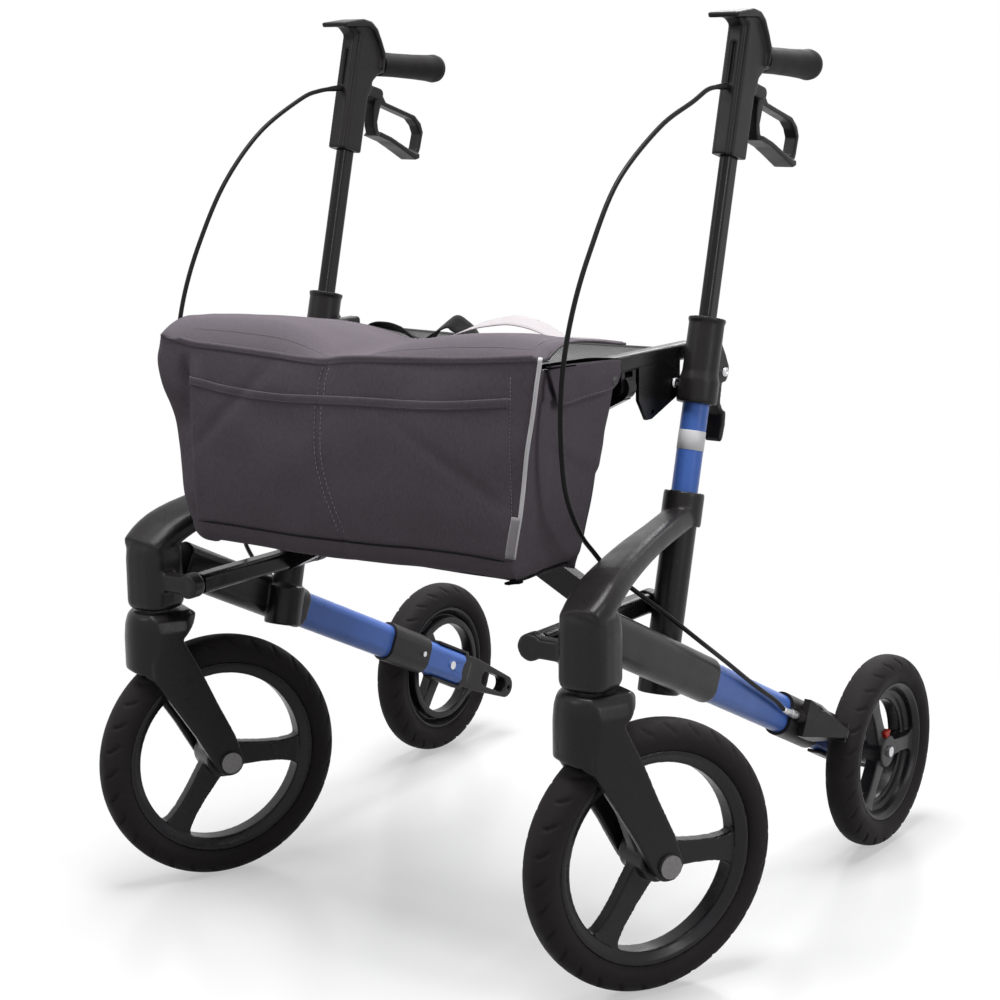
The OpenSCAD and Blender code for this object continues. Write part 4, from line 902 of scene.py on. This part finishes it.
foot_line = [np.array((x, front_y(x, foot_z(x)) - 0.2, foot_z(x))) for x in np.linspace(-199, 200, 120)]
foot_r = [min(1, 0.3 + i / 6, 0.3 + (119 - i) / 6) for i in range(120)]
soft(object_of("bag_foot_cord", swept(foot_line, foot_r, 8)), "left_seat", DARK, "bag_fabric")
CORD_SPOTS = {
    "left": [(0.80, 1.21), (0.82, 1.225), (0.84, 1.23), (0.87, 1.23), (0.92, 1.23), (0.96, 1.225), (0.975, 1.215)],
    "right": [(0.20, 1.21), (0.18, 1.225), (0.16, 1.23), (0.13, 1.23), (0.08, 1.23), (0.04, 1.225), (0.025, 1.215)],
}
for label, out in (("left", 0.4), ("right", -0.4)):
    path = spline([np.array(bag_point(t, v)) + (out, 0, -0.3) for t, v in CORD_SPOTS[label]], 8)
    soft(object_of(f"bag_side_cord_{label}", swept(path, 1.7, 10)), "left_seat", DARK, "bag_fabric")


def corner_line(side):
    """The line of the piping down a front corner of the bag."""
    line = []
    for z in np.linspace(640, 442, 60):
        if side > 0:
            x = right_x(z)
            line.append(np.array((x - 1.2, front_y(x - 6, z) + 1.0, z)))
        else:
            z = z - 14
            x = left_x(z)
            line.append(np.array((x - 0.4, 8.0, z)))
    return line


for side, label in ((1, "left"), (-1, "right")):
    pipe = corner_line(side)
    soft(object_of(f"bag_piping_{label}", swept(pipe, 2.1, 10)), "left_seat", PIPING, "bag_fabric")
    tape = [[tuple(p + np.array((dx * side, 0.9, 0))) for p in pipe] for dx in (-5.0, -2.5, 0.0)]
    soft(sheet_of(f"bag_piping_tape_{label}", facing(tape), 0.7), "left_seat", LINING_AND_PAINTED_SHADE, "bag_fabric")
tag = []
for i in range(12):
    z = 484 - 42 * i / 11
    x0 = right_x(z) + 0.5
    y0 = front_y(x0 - 8, z) - 1.4
    tag.append([(x0 - 10.5 * k / 5, y0 - 0.5 * math.sin(math.pi * k / 5), z) for k in range(6)])
soft(sheet_of("bag_tag", facing(tag), 0.9), "left_seat", TAG, "pale_webbing")

for side, label in ((1, "left"), (-1, "right")):
    top = spline([(245.5, -7, 631), (248, 20, 630), (250, 60, 628), (251, 108, 625), (250, 115, 620)], 8)
    low = spline([(242.8, 14, 590), (244, 30, 588.6), (246, 60, 591.6), (247.5, 98, 593.5),
                  (248, 113, 601)], 8)
    wing = []
    for i in range(16):
        s = i / 15
        line = []
        for k, (a, b) in enumerate(zip(top, low)):
            p = a + (b - a) * s
            p = p + np.array((1.6 * math.sin(math.pi * s) + 0.9 * waves(k / 6, s * 3, 6.6), 0, 0))
            line.append((side * (p[0] + END_OUT[side]), p[1], p[2]))
        wing.append(line)
    soft(sheet_of(f"bag_wing_{label}", facing(wing), CLOTH_THICK), "left_seat", CLOTH, "bag_fabric")
    edge = [tuple(np.array(p) + np.array((1.2 * side, 0, 3.5))) for p in wing[-1]]
    soft(object_of(f"bag_wing_stitches_{label}", stitches(edge, (side, 0, 0.1), 5.0, 3.6, 0.8)), "left_seat",
         THREAD, "bag_fabric")
    dome = [(0.0, 2.6), (1.6, 2.4), (2.6, 1.6), (3.0, 0.9), (4.4, 0.9), (5.2, 0.4), (5.4, -0.8)]
    dome_points, faces = revolve(dome, 28)
    at = (side * (250.2 + END_OUT[side]), 104.5, 605.0)
    placed = [(at[0] + side * p[0], at[1] + p[1], at[2] + p[2]) for p in dome_points]
    soft(object_of(f"bag_snap_{label}", (placed, faces)), "left_seat", STUD, "steel")

corner = sorted(ear(628.0, 0.42 + 0.58 * k / 30) for k in range(31))
LID_END = corner[0][0]


def lid_front(x):
    """Where the lid's front edge lies: flush with the bag's front and round its corners."""
    if x < corner[-1][0]:
        return float(np.interp(x, [c[0] for c in corner], [c[1] for c in corner])) - 0.5
    y = front_y(min(x, 236.0), seam_z(x))
    high = right_x(640)
    if x > high - 6:
        y += 6 * (1 - math.sqrt(1 - min((x - high + 6) / 6, 1.0) ** 2))
    return y - 0.5


# The sleeves over the seat rails are near black and without gloss: painted shade in the gaps under the lid's ends
for side, label in ((1, "left"), (-1, "right")):
    sleeve = []
    for i in range(14):
        u = i / 13
        line = []
        for k in range(30):
            v = k / 29
            x = 248.6 + 1.6 * v - 38 * u + END_OUT[side]
            z = 629.6 - 4.0 * v - 2.4 * u * u + 0.4 * waves(u * 4, v * 5, 2.8)
            line.append((side * x, -7 + 118 * v, z))
        sleeve.append(line)
    soft(sheet_of(f"bag_sleeve_{label}", facing(sleeve), 1.2), "left_seat", LINING_AND_PAINTED_SHADE, "bag_fabric")

# The lid: rows from its front edge to its rear, with closer columns at its rounded right end
LID_ROWS, LID_COLS, END_COLS, END_LEN = 48, 176, 36, 30
SLOPE_SHARE, SLOPE_LEN, LID_REAR_Y = 0.22, 36, 118.8
lid = []
for i in range(LID_ROWS):
    q = max(i - 1, 0) / (LID_ROWS - 2)
    line = []
    for k in range(LID_COLS):
        tuck = 11 * ease(q, 0.03, 0.32)
        first = LID_END + tuck
        if k < END_COLS:
            x = first + END_LEN * (1 - math.cos(math.pi / 2 * k / END_COLS))
        else:
            along = (k - END_COLS + 1) / (LID_COLS - END_COLS)
            x = first + END_LEN + (247 + 6 * q * q - first - END_LEN) * along
        round_end = math.sqrt(1 - (1 - min((x - first) / 10, 1.0)) ** 2)
        low = seam_z(x)
        high = lobe_z(max(x, -238.0)) + 0.8 * waves(x / 60, q * 3, 1.7)
        edge = lid_front(x - tuck * (1 - ease(x, -246, -216)))
        if q < SLOPE_SHARE:
            u = q / SLOPE_SHARE
            y = edge + SLOPE_LEN * u ** 1.1
            z = low + (high - low) * (1 - (1 - u) ** 1.8) * round_end
        else:
            t = (q - SLOPE_SHARE) / (1 - SLOPE_SHARE)
            y = edge + SLOPE_LEN + (LID_REAR_Y - edge - SLOPE_LEN) * t
            z = high + (rear_z(max(x, -238.0)) - high) * (t * t * (1.6 - 0.6 * t))
            z += 1.4 * waves(x / 42, y / 34, 7.3) * math.sin(math.pi * t)
            z = low + (z - low) * round_end
        if i == 0:
            y, z = y + 3.2, z - 1.6
        line.append((x, y, z))
    lid.append(line)
lid_obj = sheet_of("bag_lid", facing(lid), CLOTH_THICK)
shade_inner_faces(soft(lid_obj, "lid", CLOTH, "bag_fabric", "bag_flap"), (LID_ROWS - 1) * (LID_COLS - 1))
front = stitches([np.array(p) + (0, -0.1, 0) for p in lid[5][40:-4]], (0, -1, 0.3), 4.4, 3.2, 0.5, 0.35)
soft(object_of("lid_front_stitches", front), "lid", DIM_THREAD, "bag_fabric")
thread = []
for s, column in ((1, -7), (-1, 6)):
    line = [np.array(across[column]) + (0, 0, 0.5) for across in lid[6:]]
    thread.append(stitches(line, (0.25 * s, 0, 1), 4.6, 3.2, 0.9))
thread.append(stitches([np.array(p) + (0, -7, 0.5) for p in lid[-1][8:-8]], (0, 0, 1), 5.5, 3.8, 0.8))
soft(object_of("lid_stitches", joined(*thread)), "lid", THREAD, "bag_fabric")
for s, label in ((1, "left"), (-1, "right")):
    edge = [np.array(line[-1 if s > 0 else 0]) + (0, 0, -1.0) for line in lid[2:]]
    soft(object_of(f"lid_piping_{label}", swept(edge, 1.3, 8)), "lid", CLOTH, "bag_fabric")
edge = [np.array(p) + (0, 0, -1.2) for p in lid[-1]]
soft(object_of("lid_rear_hem", swept(edge[1:-1], 2.0, 8)), "lid", CLOTH, "bag_fabric")


STRAP_SECTION = (
    (-1, 0), (-0.96, 0.8), (-0.5, 1), (0.5, 1), (0.96, 0.8), (1, 0), (0.96, -0.8), (0.5, -1), (-0.5, -1), (-0.96, -0.8),
)


def ribbon(name, path, width, thick, lean=None):
    """A flat strap along a path; its width lies along Y, turned by lean degrees at each point."""
    rows_made = []
    for i, p in enumerate(path):
        a = math.radians(lean[i]) if lean is not None else 0.0
        ahead = path[min(i + 1, len(path) - 1)] - path[max(i - 1, 0)]
        ahead = ahead / np.linalg.norm(ahead)
        across = np.array((0.0, math.cos(a), math.sin(a)))
        across = across - ahead * (across @ ahead)
        across = across / np.linalg.norm(across)
        up = np.cross(ahead, across)
        rows_made.append([tuple(p + across * w * width / 2 + up * h * thick / 2) for w, h in STRAP_SECTION])
    return object_of(name, closed_loft(rows_made))


carry = spline([(58, 105, 637), (63, 105, 640.5), (86, 105, 649), (108, 105, 654), (127, 105, 656.5),
                (146, 105, 655), (162, 105, 651), (178, 105, 645), (187, 105, 641)], 6)
lean = [20 * math.sin(math.pi * k / (len(carry) - 1)) for k in range(len(carry))]
soft(ribbon("carry_strap", carry, 21, 1.6, lean), "lid", PALE_WEB, "pale_webbing", "bag_strap")
pull = spline([
    (-92, 146, 617), (-84, 144, 631), (-72, 142, 635), (-52, 141, 634.5), (-34, 139, 630), (-18, 138, 625),
    (-5, 138, 626), (8, 141, 637), (21, 144, 644.5), (30, 146, 641), (42, 148, 633), (50, 150, 618),
], 6)
lean = np.interp(np.linspace(0, 1, len(pull)),
                 (0, 0.2, 0.35, 0.5, 0.62, 0.8, 1), (0, -26, -34, -8, 22, 30, 0))
soft(ribbon("pull_strap", pull, 25, 2.2, lean), "left_seat", WEBBING, "black_webbing", "seat_pull_strap")

net_rows = []
for i in range(36):
    b = i / 35
    net_rows.append([(-217.2 + 434.4 * k / 60, 31 + 252 * b,
                      613.4 - 4.0 * math.sin(math.pi * k / 60) * (0.5 + 0.5 * math.sin(math.pi * b)))
                     for k in range(61)])
net_obj = sheet_of("seat_net", net_rows, 1.6, 0.0)
soft(net_obj, "left_seat", NET, "seat_mesh", "seat_mesh")
for label, i in (("front", 1), ("rear", -2)):
    line = [np.array(p) + (0, 0, 0.2) for p in net_rows[i]]
    soft(ribbon(f"seat_hem_{label}", line, 13, 2.2), "left_seat", HEM, "seat_mesh")

# Camera, floor and light
AZ, EL, ROLL = math.radians(35.49), math.radians(11.43), math.radians(-0.60)
LENS, SENSOR, AIM, AWAY = 76.83, 36, (42.13, 198.90, 445.55), 2.32705
FLOOR_REACH, FLOOR_SEEN, FLOOR_UNSEEN, FADE = 30, (0.93, 0.93, 0.93), (0.16, 0.16, 0.16), (0.55, 1.25)
back = Vector((math.sin(AZ) * math.cos(EL), -math.cos(AZ) * math.cos(EL), math.sin(EL)))
level = Vector((math.cos(AZ), math.sin(AZ), 0))
above = back.cross(level)
right = level * math.cos(ROLL) + above * math.sin(ROLL)
upward = back.cross(right)
camera = bpy.data.objects.new("camera", bpy.data.cameras.new("camera"))
camera.data.sensor_width = SENSOR
camera.data.lens = LENS
camera.data.clip_end = 60
turned = Matrix((right, upward, back)).transposed().to_4x4()
turned.translation = row(AIM) + back * AWAY
camera.matrix_world = turned
bpy.context.scene.collection.objects.link(camera)
bpy.context.scene.camera = camera
bpy.context.scene.view_settings.view_transform = "Standard"

floor_mesh = bpy.data.meshes.new("floor")
corners = [(x * FLOOR_REACH, y * FLOOR_REACH, 0) for x, y in ((-1, -1), (1, -1), (1, 1), (-1, 1))]
floor_mesh.from_pydata(corners, [], [(0, 1, 2, 3)])
floor = bpy.data.objects.new("floor", floor_mesh)
bpy.context.scene.collection.objects.link(floor)
n = Nodes("pale_floor", FLOOR_SEEN, 0.22)
path = n.new("ShaderNodeLightPath")
seen = n.math("MAXIMUM", path.outputs["Is Camera Ray"], path.outputs["Is Glossy Ray"])
seen = n.math("MAXIMUM", seen, path.outputs["Is Transmission Ray"])
n.colour(n.mix(seen, FLOOR_UNSEEN, FLOOR_SEEN))
n.bump(n.noise(40, 2), 0.01, 0.0005)
n.shader.inputs["Specular IOR Level"].default_value = 0.35
reach = n.new("ShaderNodeVectorMath", operation="LENGTH")
n.link(n.place, reach.inputs[0])
far = n.spread(reach.outputs["Value"], 0.45, 1.0, *FADE)
white = n.new("ShaderNodeEmission")
white.inputs["Color"].default_value = (1, 1, 1, 1)
white.inputs["Strength"].default_value = 1.0
blend = n.new("ShaderNodeMixShader")
n.link(n.math("MULTIPLY", seen, far), blend.inputs["Fac"])
n.link(n.shader.outputs["BSDF"], blend.inputs[1])
n.link(white.outputs["Emission"], blend.inputs[2])
n.link(blend.outputs["Shader"], n.tree.nodes["Material Output"].inputs["Surface"])
floor.data.materials.append(n.material)

world = bpy.data.worlds.new("studio")
bpy.context.scene.world = world
world.use_nodes = True
tree = world.node_tree
tree.nodes.clear()
path = tree.nodes.new("ShaderNodeLightPath")
mixed = tree.nodes.new("ShaderNodeMixShader")
out = tree.nodes.new("ShaderNodeOutputWorld")


def larger(a, b):
    made = tree.nodes.new("ShaderNodeMath")
    made.operation = "MAXIMUM"
    tree.links.new(a, made.inputs[0])
    tree.links.new(b, made.inputs[1])
    return made.outputs[0]


# The room's own light is faint; where the camera, a gloss or clear stuff looks past the object, it is white
for socket, strength in ((1, 0.06), (2, 1.0)):
    shade = tree.nodes.new("ShaderNodeBackground")
    shade.inputs["Color"].default_value = (1, 1, 1, 1)
    shade.inputs["Strength"].default_value = strength
    tree.links.new(shade.outputs[0], mixed.inputs[socket])
looked = larger(path.outputs["Is Camera Ray"], path.outputs["Is Transmission Ray"])
tree.links.new(larger(looked, path.outputs["Is Glossy Ray"]), mixed.inputs["Fac"])
tree.links.new(mixed.outputs[0], out.inputs["Surface"])


def softbox(name, place, aim, size, power):
    data = bpy.data.lights.new(name, "AREA")
    data.shape = "RECTANGLE"
    data.size, data.size_y = size
    data.energy = power
    lamp = bpy.data.objects.new(name, data)
    lamp.location = place
    lamp.rotation_mode = "QUATERNION"
    lamp.rotation_quaternion = (Vector(aim) - Vector(place)).to_track_quat("-Z", "Y")
    bpy.context.scene.collection.objects.link(lamp)


softbox("key", (-1.5, -2.5, 2.5), (0, 0, 0.5), (0.8, 1.0), 17)
softbox("top", (0.0, -0.2, 3.2), (0, 0, 0.3), (1.5, 1.5), 100)
softbox("side", (2.7, -0.4, 1.6), (0, 0, 0.5), (0.5, 1.6), 20)
softbox("rear", (-0.6, 2.8, 1.9), (0, 0, 0.5), (1.8, 0.8), 24)
